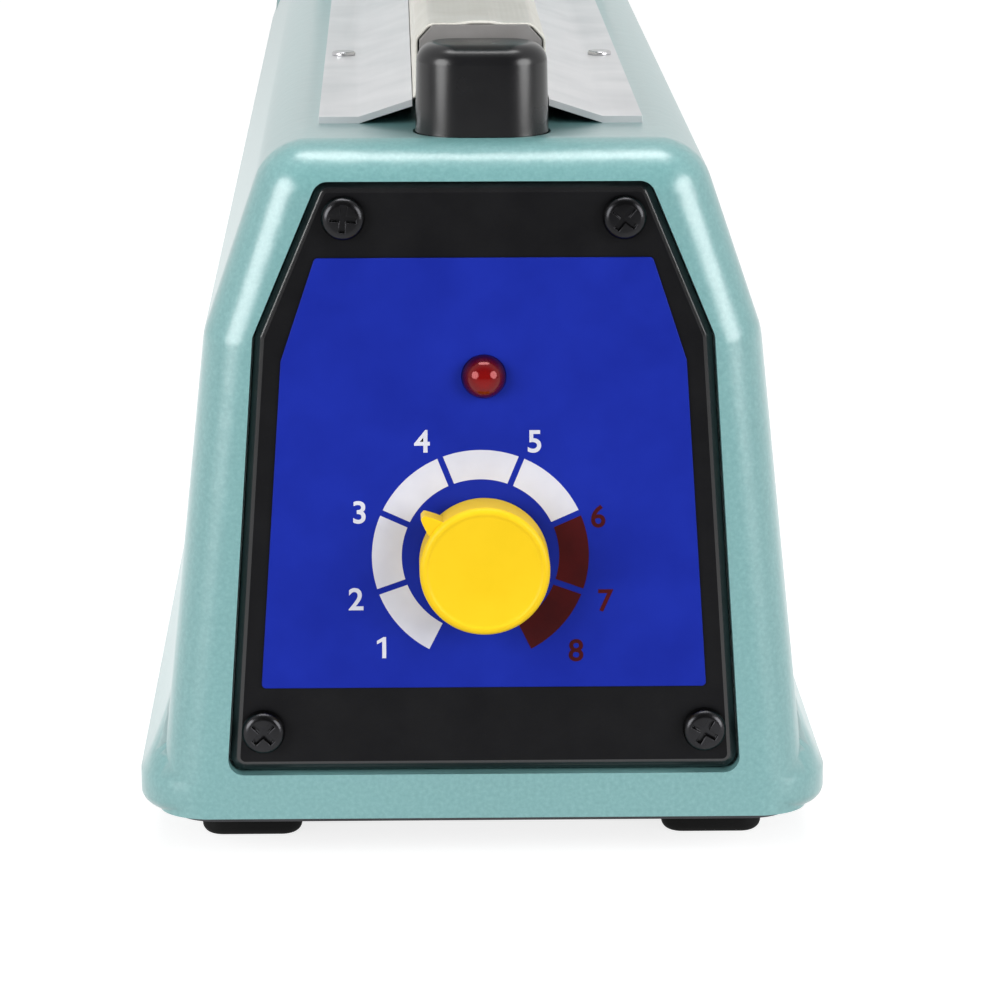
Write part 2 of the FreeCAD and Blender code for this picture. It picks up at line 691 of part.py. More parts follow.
def timer_knob():
    knob = rod(KNOB_RADIUS, V(0, knob_back(), KNOB_Z), V(0, knob_front(), KNOB_Z))
    knob = knob.makeFillet(KNOB_EDGE, [e for e in knob.Edges if abs(e.CenterOfMass.y - knob_front()) < 1e-3])
    angle = math.radians(POINTER_ANGLE)
    outward = V(math.cos(angle), 0, math.sin(angle))
    across = V(-math.sin(angle), 0, math.cos(angle))
    root = V(0, 0, KNOB_Z) + outward * (KNOB_RADIUS - POINTER_SINK)
    tip = V(0, 0, KNOB_Z) + outward * POINTER_REACH
    points = [root + across * POINTER_HALF_WIDTH, root - across * POINTER_HALF_WIDTH,
              tip - across * POINTER_TIP_HALF_WIDTH, tip + across * POINTER_TIP_HALF_WIDTH]
    pointer = prism("xz", [(p.x, p.z, 0) for p in points], knob_front() + KNOB_EDGE,
                    knob_front() + KNOB_EDGE + POINTER_HEIGHT)
    knob = knob.fuse(pointer)
    dish = rod(KNOB_DISH_RADIUS, V(0, knob_front(), KNOB_Z), V(0, knob_front() + KNOB_DISH_DEPTH, KNOB_Z))
    bore = rod(SHAFT_RADIUS, V(0, knob_back(), KNOB_Z), V(0, shaft_end(), KNOB_Z))
    nut_well = rod(POT_NUT_RADIUS + KNOB_GAP, V(0, knob_back(), KNOB_Z),
                   V(0, PANEL_FACE - POT_NUT_THICK - KNOB_GAP, KNOB_Z))
    return knob.cut([dish, bore, nut_well])


def shaft_end():
    return knob_front() + KNOB_FACE_THICK


def pot_front():
    return PANEL_BACK + BOARD_STAND_OFF - POT_LENGTH


def pot_shaft():
    return rod(SHAFT_RADIUS, V(0, shaft_end(), KNOB_Z), V(0, pot_front() + POT_LENGTH / 2, KNOB_Z))


def potentiometer():
    can = rod(POT_RADIUS, V(0, pot_front(), KNOB_Z), V(0, PANEL_BACK + BOARD_STAND_OFF, KNOB_Z))
    collar = rod(POT_NUT_RADIUS, V(0, PANEL_BACK, KNOB_Z), V(0, pot_front(), KNOB_Z))
    bush = rod(BUSH_RADIUS, V(0, PANEL_FACE - POT_NUT_THICK, KNOB_Z), V(0, pot_front(), KNOB_Z))
    shaft_hole = rod(SHAFT_RADIUS + SHAFT_CLEARANCE, V(0, FRONT - POT_LENGTH, KNOB_Z),
                     V(0, pot_front() + POT_LENGTH / 2 + REST_GAP, KNOB_Z))
    return can.fuse([collar, bush]).removeSplitter().cut(shaft_hole)


def pot_nut():
    nut = prism("xz", hexagon(0, KNOB_Z, POT_NUT_RADIUS), PANEL_FACE - POT_NUT_THICK, PANEL_FACE)
    return nut.cut(rod(BUSH_RADIUS, V(0, FRONT - POT_LENGTH, KNOB_Z), V(0, PANEL_BACK, KNOB_Z)))


def board_front():
    return PANEL_BACK + BOARD_STAND_OFF


def timer_board():
    corners = rectangle(BOARD_WIDTH / 2, KNOB_Z - BOARD_HEIGHT / 2, KNOB_Z + BOARD_HEIGHT / 2, BOARD_CORNER)
    board = prism("xz", corners, board_front(), board_front() + BOARD_THICK)
    return board.cut([rod(SMALL_SCREW_RADIUS, p, p + V(0, BOARD_THICK, 0)) for p in board_post_places()])


def board_screws():
    back = V(0, BOARD_THICK, 0)
    return group([small_screw(p + back, V(0, -1, 0)) for p in board_post_places()])


def timer_relay():
    width, depth, height = RELAY_SIZE
    back = board_front() + BOARD_THICK
    block = box((-width - RELAY_START, -RELAY_START), (back, back + depth),
                (KNOB_Z - height / 2, KNOB_Z + height / 2))
    rim = [e for e in block.Edges if abs(e.CenterOfMass.y - back - depth) < 1e-6]
    return block.makeChamfer(RELAY_CHAMFER, rim)


def timing_capacitor():
    back = board_front() + BOARD_THICK
    end = back + CAPACITOR_LENGTH
    x = CAPACITOR_RADIUS + CAPACITOR_START
    can = rod(CAPACITOR_RADIUS, V(x, back, KNOB_Z), V(x, end, KNOB_Z))
    return can.makeFillet(CAPACITOR_EDGE, [e for e in can.Edges if abs(e.CenterOfMass.y - end) < 1e-6])


# Switch button, its spring and the switch

def flange_top():
    return CEILING - REST_GAP


def stem_bottom():
    return flange_top() - BUTTON_FLANGE_THICK - STEM_LENGTH


def bracket_top():
    return flange_top() - BUTTON_FLANGE_THICK - BUTTON_TRAVEL - BUTTON_SPRING_ROOM


def switch_button():
    shank = prism("xy", button_corners(0), flange_top() - BUTTON_FLANGE_THICK, TOP)
    foot = outline("xy", button_corners(0), TOP)
    crown = outline("xy", button_corners(-BUTTON_DRAFT), BUTTON_TOP)
    cap = Part.makeLoft([foot, crown], True, True)
    rim = [e for e in cap.Edges if abs(e.CenterOfMass.z - BUTTON_TOP) < 1e-6]
    cap = cap.makeFillet(BUTTON_TOP_ROUND, rim)
    flange = prism("xy", button_corners(BUTTON_FLANGE), flange_top() - BUTTON_FLANGE_THICK, flange_top())
    stem = rod(STEM_RADIUS, V(0, BUTTON_Y, stem_bottom()), V(0, BUTTON_Y, flange_top()))
    return shank.fuse([cap, flange, stem]).removeSplitter()


def bracket_half():
    return BUTTON_WIDTH / 2 + BUTTON_FLANGE + BUTTON_FIT + BRACKET_THICK


def switch_bracket():
    """Bent sheet that hangs from the ceiling beside the button and carries the switch under its shelf."""
    half = bracket_half()
    low = BUTTON_Y - BUTTON_DEPTH / 2
    high = BUTTON_Y + BUTTON_DEPTH / 2
    shelf = box((-half, half), (low, high), (bracket_top() - BRACKET_THICK, bracket_top()))
    sides = [box(tuple(sorted((sx * half, sx * (half - BRACKET_THICK)))), (low, high),
                 (bracket_top() - BRACKET_THICK, CEILING)) for sx in (-1, 1)]
    hole = rod(STEM_RADIUS + BUTTON_FIT, V(0, BUTTON_Y, bracket_top() - BRACKET_THICK - PAST),
               V(0, BUTTON_Y, bracket_top() + PAST))
    return shelf.fuse(sides).removeSplitter().cut(hole)


def microswitch():
    width, depth, height = SWITCH_SIZE
    top = bracket_top() - BRACKET_THICK
    case = box((-width / 2, width / 2), (BUTTON_Y - depth / 2, BUTTON_Y + depth / 2), (top - height, top))
    room = BUTTON_TRAVEL + REST_GAP
    well = rod(STEM_RADIUS + BUTTON_FIT, V(0, BUTTON_Y, plunger_top() - room), V(0, BUTTON_Y, top + PAST))
    bore = rod(PLUNGER_RADIUS + PLUNGER_FIT, V(0, BUTTON_Y, plunger_bottom() - room), V(0, BUTTON_Y, top))
    return case.cut([well, bore])


def plunger_top():
    return stem_bottom()


def plunger_bottom():
    return stem_bottom() - PLUNGER_SINK


def switch_plunger():
    return rod(PLUNGER_RADIUS, V(0, BUTTON_Y, plunger_bottom()), V(0, BUTTON_Y, plunger_top()))


def button_spring():
    bottom = bracket_top() + BUTTON_SPRING_WIRE / 2
    top = flange_top() - BUTTON_FLANGE_THICK - BUTTON_SPRING_WIRE / 2
    pitch = (top - bottom) / BUTTON_SPRING_TURNS
    edges, first, _ = helix_edges(BUTTON_SPRING_RADIUS, pitch, BUTTON_SPRING_TURNS, 0.0)
    spring = wire_form(edges, *first, BUTTON_SPRING_WIRE / 2, "button_spring", pitch)
    return spring.translated(V(0, BUTTON_Y, bottom))


# Sealing bar with its heating wire, cloth, electrodes and deck plates

def bar_section(grow):
    """Corners of the bar's section, grown sideways and upwards."""
    side = BAR_WIDTH / 2 + grow
    top = BAR_TOP + grow
    return mirrored([(side, TOP, 0), (side, top - BAR_CHAMFER_DROP, 0), (BAR_TOP_WIDTH / 2 + grow, top, 0)])


def sealing_bar():
    bar = prism("xz", bar_section(0), BAR_FRONT, BAR_REAR)
    half = ELECTRODE_WIDTH / 2 + CLOTH_THICK
    height = (TOP - PAST, TOP + BAR_NOTCH_HEIGHT)
    notches = [box((-half, half), (BAR_FRONT - PAST, BAR_FRONT + BAR_NOTCH_DEPTH), height),
               box((-half, half), (BAR_REAR - BAR_NOTCH_DEPTH, BAR_REAR + PAST), height)]
    low = TOP + BAR_NOTCH_HEIGHT - PAST
    slots = [box((-WIRE_WIDTH / 2, WIRE_WIDTH / 2), span, (low, BAR_TOP + PAST)) for span in wire_tabs()]
    return bar.cut(notches + slots)


def wire_tabs():
    """Spans along the bar of the heating wire's two ends, which go down through it to the electrodes."""
    inset = BAR_NOTCH_DEPTH - ELECTRODE_THICK
    return [(BAR_FRONT + inset, BAR_FRONT + inset + WIRE_THICK),
            (BAR_REAR - inset - WIRE_THICK, BAR_REAR - inset)]


def electrode(end, inward):
    """Brass tab that stands in the bar's end notch and holds the end of the heating wire."""
    half = ELECTRODE_WIDTH / 2
    near = end + inward * BAR_NOTCH_DEPTH
    far = near - inward * ELECTRODE_THICK
    return box((-half, half), tuple(sorted((near, far))), (TOP, TOP + BAR_NOTCH_HEIGHT - CLOTH_THICK))


def front_electrode():
    return electrode(BAR_FRONT, 1)


def rear_electrode():
    return electrode(BAR_REAR, -1)


def heating_wire():
    """Flat wire along the bar's top, turned down at both ends as far as the electrodes' tops."""
    low = TOP + BAR_NOTCH_HEIGHT - CLOTH_THICK
    half = WIRE_WIDTH / 2
    front, rear = wire_tabs()
    tabs = [box((-half, half), span, (low, BAR_TOP)) for span in (front, rear)]
    run = box((-half, half), (front[0], rear[1]), (BAR_TOP, BAR_TOP + WIRE_THICK))
    return run.fuse(tabs).removeSplitter()


def ptfe_cloth():
    """Non-stick cloth folded over the bar and the heating wire."""
    start = BAR_FRONT + CLOTH_END_INSET
    end = BAR_REAR - CLOTH_END_INSET
    outer = prism("xz", bar_section(WIRE_THICK + CLOTH_THICK), start, end)
    inner = prism("xz", bar_section(WIRE_THICK), start - PAST, end + PAST)
    hem = box((-BAR_WIDTH, BAR_WIDTH), (start - PAST, end + PAST), (TOP - PAST, TOP + CLOTH_LOWER_GAP))
    return outer.cut([inner, hem])


def plate_inner():
    return BAR_WIDTH / 2 + WIRE_THICK + CLOTH_THICK + PLATE_GAP


def plate_screw_x():
    return plate_inner() + PLATE_WIDTH - PLATE_FOOT_WIDTH / 2


def plate_corners(side):
    """Section of a deck plate: a flat foot on the body and a flank that rises towards the bar."""
    inner = plate_inner()
    outer = inner + PLATE_WIDTH
    bend = outer - PLATE_FOOT_WIDTH
    points = [(outer, TOP), (outer, TOP + PLATE_THICK), (bend, TOP + PLATE_THICK),
              (inner, TOP + PLATE_RISE + PLATE_THICK), (inner, TOP + PLATE_RISE), (bend, TOP)]
    return [(side * x, z, 0) for x, z in points]


def deck_plate(side):
    plate = prism("xz", plate_corners(side), BAR_FRONT - PLATE_OVERRUN, BAR_REAR + PLATE_OVERRUN)
    x = side * plate_screw_x()
    above = TOP + PLATE_RISE + PLATE_THICK + PAST
    holes = [rod(PLATE_SCREW_RADIUS, V(x, y, TOP - PAST), V(x, y, above)) for y in plate_screw_stations()]
    return plate.cut(holes)


def left_deck_plate():
    return deck_plate(-1)


def right_deck_plate():
    return deck_plate(1)


def deck_screws():
    screws = []
    for y in plate_screw_stations():
        for sx in (-1, 1):
            seat = V(sx * plate_screw_x(), y, TOP + PLATE_THICK)
            screws.append(screw(seat, V(0, 0, -1), PLATE_HEAD_RADIUS, PLATE_HEAD_HEIGHT,
                                PLATE_SCREW_RADIUS, WALL + PLATE_THICK))
    return group(screws)


# Hinge

def hinge_pin():
    reach = PIN_BOSS_REACH + PIN_END
    pin = rod(PIN_RADIUS, V(-reach, PIVOT_Y, PIVOT_Z), V(reach, PIVOT_Y, PIVOT_Z))
    grooves = []
    for sx in (-1, 1):
        near = V(sx * PIN_BOSS_REACH, PIVOT_Y, PIVOT_Z)
        far = near + V(sx * CLIP_THICK, 0, 0)
        grooves.append(rod(PIN_RADIUS + PAST, near, far).cut(rod(PIN_RADIUS - CLIP_GROOVE, near, far)))
    return pin.cut(grooves)


def pin_clips():
    clips = []
    for sx in (-1, 1):
        near = V(sx * PIN_BOSS_REACH, PIVOT_Y, PIVOT_Z)
        far = near + V(sx * CLIP_THICK, 0, 0)
        ring = rod(CLIP_RADIUS, near, far).cut(rod(PIN_RADIUS - CLIP_GROOVE, near, far))
        half_mouth = PIN_RADIUS - CLIP_GROOVE
        mouth = box(tuple(sorted((near.x, far.x))), (PIVOT_Y - half_mouth, PIVOT_Y + half_mouth),
                    (PIVOT_Z - CLIP_RADIUS - PAST, PIVOT_Z))
        clips.append(ring.cut(mouth))
    return group(clips)


def raised(shape):
    """The arm's piece turned from its closed place to its rest, open."""
    turned = shape.copy()
    turned.rotate(V(0, PIVOT_Y, PIVOT_Z), V(1, 0, 0), -ARM_OPEN_ANGLE)
    return turned


def lug_sides():
    inner = ARM_WIDTH / 2 - LUG_WIDTH
    return [(-ARM_WIDTH / 2, -inner), (inner, ARM_WIDTH / 2)]


def arm_plan():
    """Plan of the arm: parallel along the bar and narrower at the grip."""
    half = ARM_WIDTH / 2
    tip = ARM_TIP_WIDTH / 2
    shoulder = ARM_FRONT + ARM_TAPER_LENGTH
    return [(-tip, ARM_FRONT, ARM_TIP_ROUND), (tip, ARM_FRONT, ARM_TIP_ROUND),
            (half, shoulder, ARM_TAPER_ROUND), (half, PIVOT_Y, 0),
            (-half, PIVOT_Y, 0), (-half, shoulder, ARM_TAPER_ROUND)]


def press_arm():
    half = ARM_WIDTH / 2
    sides = mirrored([(half, ARM_BOTTOM, 0), (half, ARM_TOP, ARM_ROUND)])
    beam = prism("xz", sides, ARM_FRONT, PIVOT_Y).common(prism("xy", arm_plan(), ARM_BOTTOM, ARM_TOP))
    channel_end = PIVOT_Y - LUG_RADIUS - ARM_WALL
    channel = box((-half + ARM_WALL, half - ARM_WALL), (ARM_FRONT + ARM_TAPER_LENGTH, channel_end),
                  (ARM_BOTTOM + ARM_WALL, ARM_TOP - ARM_WALL))
    slot = box((-half + LUG_WIDTH, half - LUG_WIDTH), (channel_end, PIVOT_Y + LUG_RADIUS),
               (ARM_BOTTOM - PAST, ARM_TOP + PAST))
    lugs = []
    for low, high in lug_sides():
        lugs.append(rod(LUG_RADIUS, V(low, PIVOT_Y, PIVOT_Z), V(high, PIVOT_Y, PIVOT_Z)))
    beam = beam.cut([channel, slot])
    arm = raised(beam.fuse(lugs))
    tail = (PIVOT_Y, PIVOT_Y + TAIL_LENGTH)
    arm = arm.fuse([box(x, tail, (SADDLE_FLOOR + REST_GAP, PIVOT_Z)) for x in lug_sides()])
    arm = arm.cut(rod(bush_outer(), V(-half - PAST, PIVOT_Y, PIVOT_Z), V(half + PAST, PIVOT_Y, PIVOT_Z)))
    return arm.cut([raised(hole) for hole in [striker_hole()] + grip_screw_holes()]).removeSplitter()


def striker_hole():
    low = BUTTON_TOP - BUTTON_TRAVEL - PAST
    return rod(STRIKER_RADIUS, V(0, BUTTON_Y, low), V(0, BUTTON_Y, ARM_TOP - ARM_WALL))


def striker_screw():
    """Screw under the arm that meets the button when the arm is closed."""
    low = BUTTON_TOP - BUTTON_TRAVEL + REST_GAP
    pin = rod(STRIKER_RADIUS, V(0, BUTTON_Y, low), V(0, BUTTON_Y, ARM_TOP - ARM_WALL))
    pin = pin.makeFillet(STRIKER_TIP_ROUND, [e for e in pin.Edges if abs(e.CenterOfMass.z - low) < 1e-6])
    return raised(pin)


def striker_nut():
    nut = prism("xy", hexagon(0, BUTTON_Y, STRIKER_NUT_RADIUS), ARM_BOTTOM - STRIKER_NUT_THICK, ARM_BOTTOM)
    return raised(nut.cut(striker_hole()))


def bush_outer():
    return PIN_RADIUS + PIN_RUNNING_FIT + HINGE_BUSH_WALL


def hinge_bushes():
    bushes = []
    for low, high in lug_sides():
        bush = rod(bush_outer(), V(low, PIVOT_Y, PIVOT_Z), V(high, PIVOT_Y, PIVOT_Z))
        outer = low if low < 0 else high
        flange = rod(bush_outer() + HINGE_BUSH_WALL, V(outer, PIVOT_Y, PIVOT_Z),
                     V(outer + math.copysign(HINGE_BUSH_FLANGE, outer), PIVOT_Y, PIVOT_Z))
        bore = rod(PIN_RADIUS + PIN_RUNNING_FIT, V(-ARM_WIDTH, PIVOT_Y, PIVOT_Z),
                   V(ARM_WIDTH, PIVOT_Y, PIVOT_Z))
        bushes.append(bush.fuse(flange).removeSplitter().cut(bore))
    return group(bushes)


def strip_span():
    return BAR_FRONT - STRIP_END_INSET / 2, BAR_REAR + STRIP_END_INSET / 2


def strip_holder():
    """Channel under the arm that grips the silicone strip."""
    half = HOLDER_WIDTH / 2
    ceiling = CLOTH_TOP + PRESS_GAP + STRIP_THICK
    low = ceiling - HOLDER_LIP
    start, end = strip_span()
    rail = box((-half, half), (start, end), (low, ARM_BOTTOM))
    groove_half = STRIP_WIDTH / 2 + HOLDER_SIDE_GAP
    groove = box((-groove_half, groove_half), (start - PAST, end + PAST), (low - PAST, ceiling))
    return raised(rail.cut(groove))


def silicone_strip():
    start, end = strip_span()
    low = CLOTH_TOP + PRESS_GAP
    strip = prism("xz", rectangle(STRIP_WIDTH / 2, low, low + STRIP_THICK, 0), start, end)
    crown = [e for e in strip.Edges if abs(e.CenterOfMass.z - low) < 1e-6 and abs(e.CenterOfMass.x) > 1]
    return raised(strip.makeFillet(STRIP_THICK / 4, crown))


def arm_grip():
    """Moulded grip that caps the arm's front end, rounded at the nose and lower towards the rear."""
    nose = ARM_FRONT - ARM_WALL
    rear = nose + GRIP_LENGTH
    top = ARM_BOTTOM + GRIP_HEIGHT + ARM_WALL
    side = [(nose, ARM_BOTTOM, GRIP_FOOT_ROUND), (rear, ARM_BOTTOM, 0),
            (rear, ARM_TOP + GRIP_REAR_STEP, GRIP_REAR_ROUND),
            (nose + GRIP_LENGTH / 2, top, GRIP_CROWN_ROUND), (nose, top - GRIP_NOSE_DROP, GRIP_ROUND)]
    grip = prism("yz", side, -GRIP_WIDTH / 2, GRIP_WIDTH / 2)
    plan = rectangle(GRIP_WIDTH / 2, nose, rear, GRIP_ROUND)
    grip = grip.common(prism("xy", plan, ARM_BOTTOM - PAST, top + PAST))
    sides = mirrored([(ARM_WIDTH / 2, ARM_BOTTOM - PAST, 0), (ARM_WIDTH / 2, ARM_TOP, ARM_ROUND)])
    socket = prism("xz", sides, ARM_FRONT, rear + PAST)
    socket = socket.common(prism("xy", arm_plan(), ARM_BOTTOM - PAST, ARM_TOP))
    return raised(grip.cut([socket] + grip_screw_holes()))


def grip_screw_places():
    """Seats of the two grip screws as (point, direction), on the sides of the grip."""
    middle = ARM_FRONT - ARM_WALL + GRIP_SCREW_STATION
    z = ARM_BOTTOM + ARM_HEIGHT / 2
    return [(V(sx * GRIP_WIDTH / 2, middle, z), V(-sx, 0, 0)) for sx in (-1, 1)]


def grip_screw_holes():
    places = grip_screw_places()
    return [rod(SMALL_SCREW_RADIUS, seat, seat + along * GRIP_SCREW_LENGTH) for seat, along in places]


def grip_screws():
    screws = [screw(seat, along, SMALL_HEAD_RADIUS, SMALL_HEAD_HEIGHT, SMALL_SCREW_RADIUS, GRIP_SCREW_LENGTH)
              for seat, along in grip_screw_places()]
    return raised(group(screws))


def lift_spring():
    """Torsion spring round the hinge pin: one leg rests on the saddle's floor, the other lifts the arm."""
    lower = math.radians(LIFT_SPRING_FLOOR_ANGLE)
    upper = math.pi - math.radians(ARM_OPEN_ANGLE + LIFT_SPRING_ARM_ANGLE)
    turns = LIFT_SPRING_TURNS + (upper - lower) / (2 * math.pi)
    edges, first, last = helix_edges(LIFT_SPRING_RADIUS, LIFT_SPRING_PITCH, turns, lower)
    start = first[0] - first[1] * LIFT_SPRING_FLOOR_LEG
    end = last[0] + last[1] * LIFT_SPRING_ARM_LEG
    edges = [Part.LineSegment(start, first[0]).toShape()] + edges + [Part.LineSegment(last[0], end).toShape()]
    spring = wire_form(edges, start, first[1], LIFT_SPRING_WIRE / 2, "lift_spring", LIFT_SPRING_PITCH)
    spring = spring.translated(V(0, 0, -LIFT_SPRING_PITCH * turns / 2))
    spring.rotate(V(0, 0, 0), V(0, 1, 0), 90)
    return spring.translated(V(0, PIVOT_Y, PIVOT_Z))


# Transformer, terminals and cord inlet

def core_middle():
    return FRONT + CORE_START + CORE_DEPTH / 2


def core_windows():
    """Two windows beside the core's middle leg, as (low x, high x)."""
    half = CORE_WIDTH / 2
    return [(-half + CORE_LEG, -CORE_LEG), (CORE_LEG, half - CORE_LEG)]


def transformer_core():
    half = CORE_WIDTH / 2
    y = (core_middle() - CORE_DEPTH / 2, core_middle() + CORE_DEPTH / 2)
    core = box((-half, half), y, (BODY_BOTTOM, BODY_BOTTOM + CORE_HEIGHT))
    low = BODY_BOTTOM + CORE_LEG
    high = BODY_BOTTOM + CORE_HEIGHT - CORE_LEG
    return core.cut([box(x, (y[0] - PAST, y[1] + PAST), (low, high)) for x in core_windows()])


def transformer_coil():
    """Winding round the core's middle leg, with rounded corners where it stands out of the windows."""
    low = BODY_BOTTOM + CORE_LEG
    high = BODY_BOTTOM + CORE_HEIGHT - CORE_LEG
    half = CORE_WIDTH / 2 - CORE_LEG - COIL_CLEARANCE
    reach = CORE_DEPTH / 2 + COIL_BULGE
    corners = rectangle(half, core_middle() - reach, core_middle() + reach, COIL_BULGE / 2)
    winding = prism("xy", corners, low, high)
    leg = box((-CORE_LEG, CORE_LEG), (core_middle() - CORE_DEPTH / 2, core_middle() + CORE_DEPTH / 2),
              (low - PAST, high + PAST))
    return winding.cut(leg)


def strap_screw_places():
    side = CORE_WIDTH / 2 + STRAP_THICK + STRAP_FOOT / 2
    return [V(sx * side, core_middle(), BODY_BOTTOM) for sx in (-1, 1)]


def transformer_strap():
    """Steel band over the core with a foot on each side."""
    half = CORE_WIDTH / 2
    y = (core_middle() - CORE_DEPTH / 4, core_middle() + CORE_DEPTH / 4)
    top = BODY_BOTTOM + CORE_HEIGHT
    foot = half + STRAP_THICK + STRAP_FOOT
    band = box((-half - STRAP_THICK, half + STRAP_THICK), y, (BODY_BOTTOM, top + STRAP_THICK))
    band = band.fuse(box((-foot, foot), y, (BODY_BOTTOM, BODY_BOTTOM + STRAP_THICK)))
    band = band.cut(box((-half, half), (y[0] - PAST, y[1] + PAST), (BODY_BOTTOM - PAST, top)))
    drills = [rod(SMALL_SCREW_RADIUS, p, p + V(0, 0, STRAP_THICK)) for p in strap_screw_places()]
    return band.removeSplitter().cut(drills)


def transformer_screws():
    seat = V(0, 0, STRAP_THICK)
    length = STRAP_THICK + BASE_PLATE_THICK
    return group([screw(p + seat, V(0, 0, -1), SMALL_HEAD_RADIUS, SMALL_HEAD_HEIGHT,
                        SMALL_SCREW_RADIUS, length) for p in strap_screw_places()])


def terminal_places():
    width = TERMINAL_SIZE[0]
    pitch = width / TERMINAL_COUNT
    y = FRONT + TERMINAL_START + TERMINAL_SIZE[1] / 2
    top = BODY_BOTTOM + TERMINAL_SIZE[2]
    return [V(pitch * (index + 0.5) - width / 2, y, top) for index in range(TERMINAL_COUNT)]


def terminal_block():
    width, depth, height = TERMINAL_SIZE
    y = FRONT + TERMINAL_START
    block = box((-width / 2, width / 2), (y, y + depth), (BODY_BOTTOM, BODY_BOTTOM + height))
    wells = [rod(TERMINAL_SCREW_RADIUS, p, p - V(0, 0, TERMINAL_SCREW_DEPTH * 2)) for p in terminal_places()]
    return block.cut(wells)


def terminal_screws():
    deep = V(0, 0, TERMINAL_SCREW_DEPTH * 2)
    radius = TERMINAL_SCREW_RADIUS - PANEL_FIT / 2
    return group([rod(radius, p - deep, p - deep * 0.5) for p in terminal_places()])


def cord_gland():
    """Inlet bush in the rear wall: a flanged sleeve, waisted to the wall's hole."""
    z = BODY_BOTTOM + GLAND_RISE
    sleeve = rod(GLAND_HOLE_RADIUS, V(0, REAR - END_WALL - GLAND_NUT_THICK, z), V(0, REAR, z))
    cap = Part.makeCone(GLAND_RADIUS, GLAND_HOLE_RADIUS, GLAND_REACH, V(0, REAR, z), V(0, 1, 0))
    bore = rod(GLAND_BORE_RADIUS, V(0, REAR - END_WALL - GLAND_NUT_THICK - PAST, z),
               V(0, REAR + GLAND_REACH + PAST, z))
    return sleeve.fuse(cap).cut(bore)


def gland_nut():
    z = BODY_BOTTOM + GLAND_RISE
    near = REAR - END_WALL
    nut = prism("xz", hexagon(0, z, GLAND_NUT_RADIUS), near - GLAND_NUT_THICK, near)
    return nut.cut(rod(GLAND_HOLE_RADIUS, V(0, near - GLAND_NUT_THICK - PAST, z), V(0, near + PAST, z)))


PIECES = [
    body_casting, base_plate, base_screws, rubber_feet, feet_screws,
    front_bezel, panel_label, panel_screws, indicator_lamp,
    timer_knob, pot_shaft, potentiometer, pot_nut, timer_board, board_screws, timer_relay, timing_capacitor,
    switch_button, switch_bracket, microswitch, switch_plunger, button_spring,
    sealing_bar, front_electrode, rear_electrode, heating_wire, ptfe_cloth,
    left_deck_plate, right_deck_plate, deck_screws,
    hinge_pin, pin_clips, press_arm, striker_screw, striker_nut, hinge_bushes, strip_holder, silicone_strip,
    arm_grip, grip_screws, lift_spring,
    transformer_core, transformer_coil, transformer_strap, transformer_screws,
    terminal_block, terminal_screws, cord_gland, gland_nut,
]

os.makedirs("parts", exist_ok=True)
for piece in PIECES:
    solid = piece()
    if not solid.isValid():
        print("not valid:", piece.__name__)
    solid.exportStep("parts/" + piece.__name__ + ".step")
    size = solid.BoundBox
    print(f"{piece.__name__}: {len(solid.Solids)} solids, {solid.Volume / 1000:.2f} cm3, "
          f"y {size.YMin:.1f} to {size.YMax:.1f}, z {size.ZMin:.1f} to {size.ZMax:.1f}")
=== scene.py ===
# %% [markdown]
# An impulse heat sealer closes plastic bags: a flat wire on a bar heats for a moment while an arm presses the
# bag on it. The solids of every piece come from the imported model. This lesson gives them their finishes, and
# works out anew the pieces whose looks need more than a solid: the knob, the button, the lamp, the dial's
# print, the cloth over the bar and the springs. Everything is in metres, with the panel facing -Y.

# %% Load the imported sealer
import json
import math

import bmesh
import bpy
import numpy as np
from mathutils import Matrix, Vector


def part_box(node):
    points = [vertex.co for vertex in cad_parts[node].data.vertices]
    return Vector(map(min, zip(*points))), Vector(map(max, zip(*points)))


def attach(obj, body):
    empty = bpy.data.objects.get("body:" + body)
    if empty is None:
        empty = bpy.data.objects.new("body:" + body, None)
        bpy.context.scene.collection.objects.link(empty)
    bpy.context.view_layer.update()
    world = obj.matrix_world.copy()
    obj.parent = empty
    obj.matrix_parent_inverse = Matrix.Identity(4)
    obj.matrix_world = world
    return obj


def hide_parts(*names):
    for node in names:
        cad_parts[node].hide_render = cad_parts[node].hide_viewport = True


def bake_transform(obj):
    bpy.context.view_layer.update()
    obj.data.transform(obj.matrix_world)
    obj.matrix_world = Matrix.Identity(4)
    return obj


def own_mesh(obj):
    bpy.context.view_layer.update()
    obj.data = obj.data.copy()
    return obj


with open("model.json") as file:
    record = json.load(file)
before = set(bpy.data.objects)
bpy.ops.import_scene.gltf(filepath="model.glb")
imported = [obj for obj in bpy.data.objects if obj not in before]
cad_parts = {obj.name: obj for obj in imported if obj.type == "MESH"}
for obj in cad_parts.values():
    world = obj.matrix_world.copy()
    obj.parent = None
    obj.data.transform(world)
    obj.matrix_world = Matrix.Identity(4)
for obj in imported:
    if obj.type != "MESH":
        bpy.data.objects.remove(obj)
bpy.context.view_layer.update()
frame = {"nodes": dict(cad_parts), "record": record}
MM = 0.001
print("nodes in the sealer:", len(frame["nodes"]))

# %% [markdown]
# The camera comes first. The photograph looks at the panel from a little above, from half a metre away, with a
# long lens. Its place and direction were worked out from the lines of the body that run together towards the
# back.

# %% Camera
EYE = Vector((-0.01036, -0.660, 0.15477))
LOOK = Vector((0.02375, 0.97569, -0.21788))
FOCAL_MM = 162.13
SENSOR_MM = 36.0

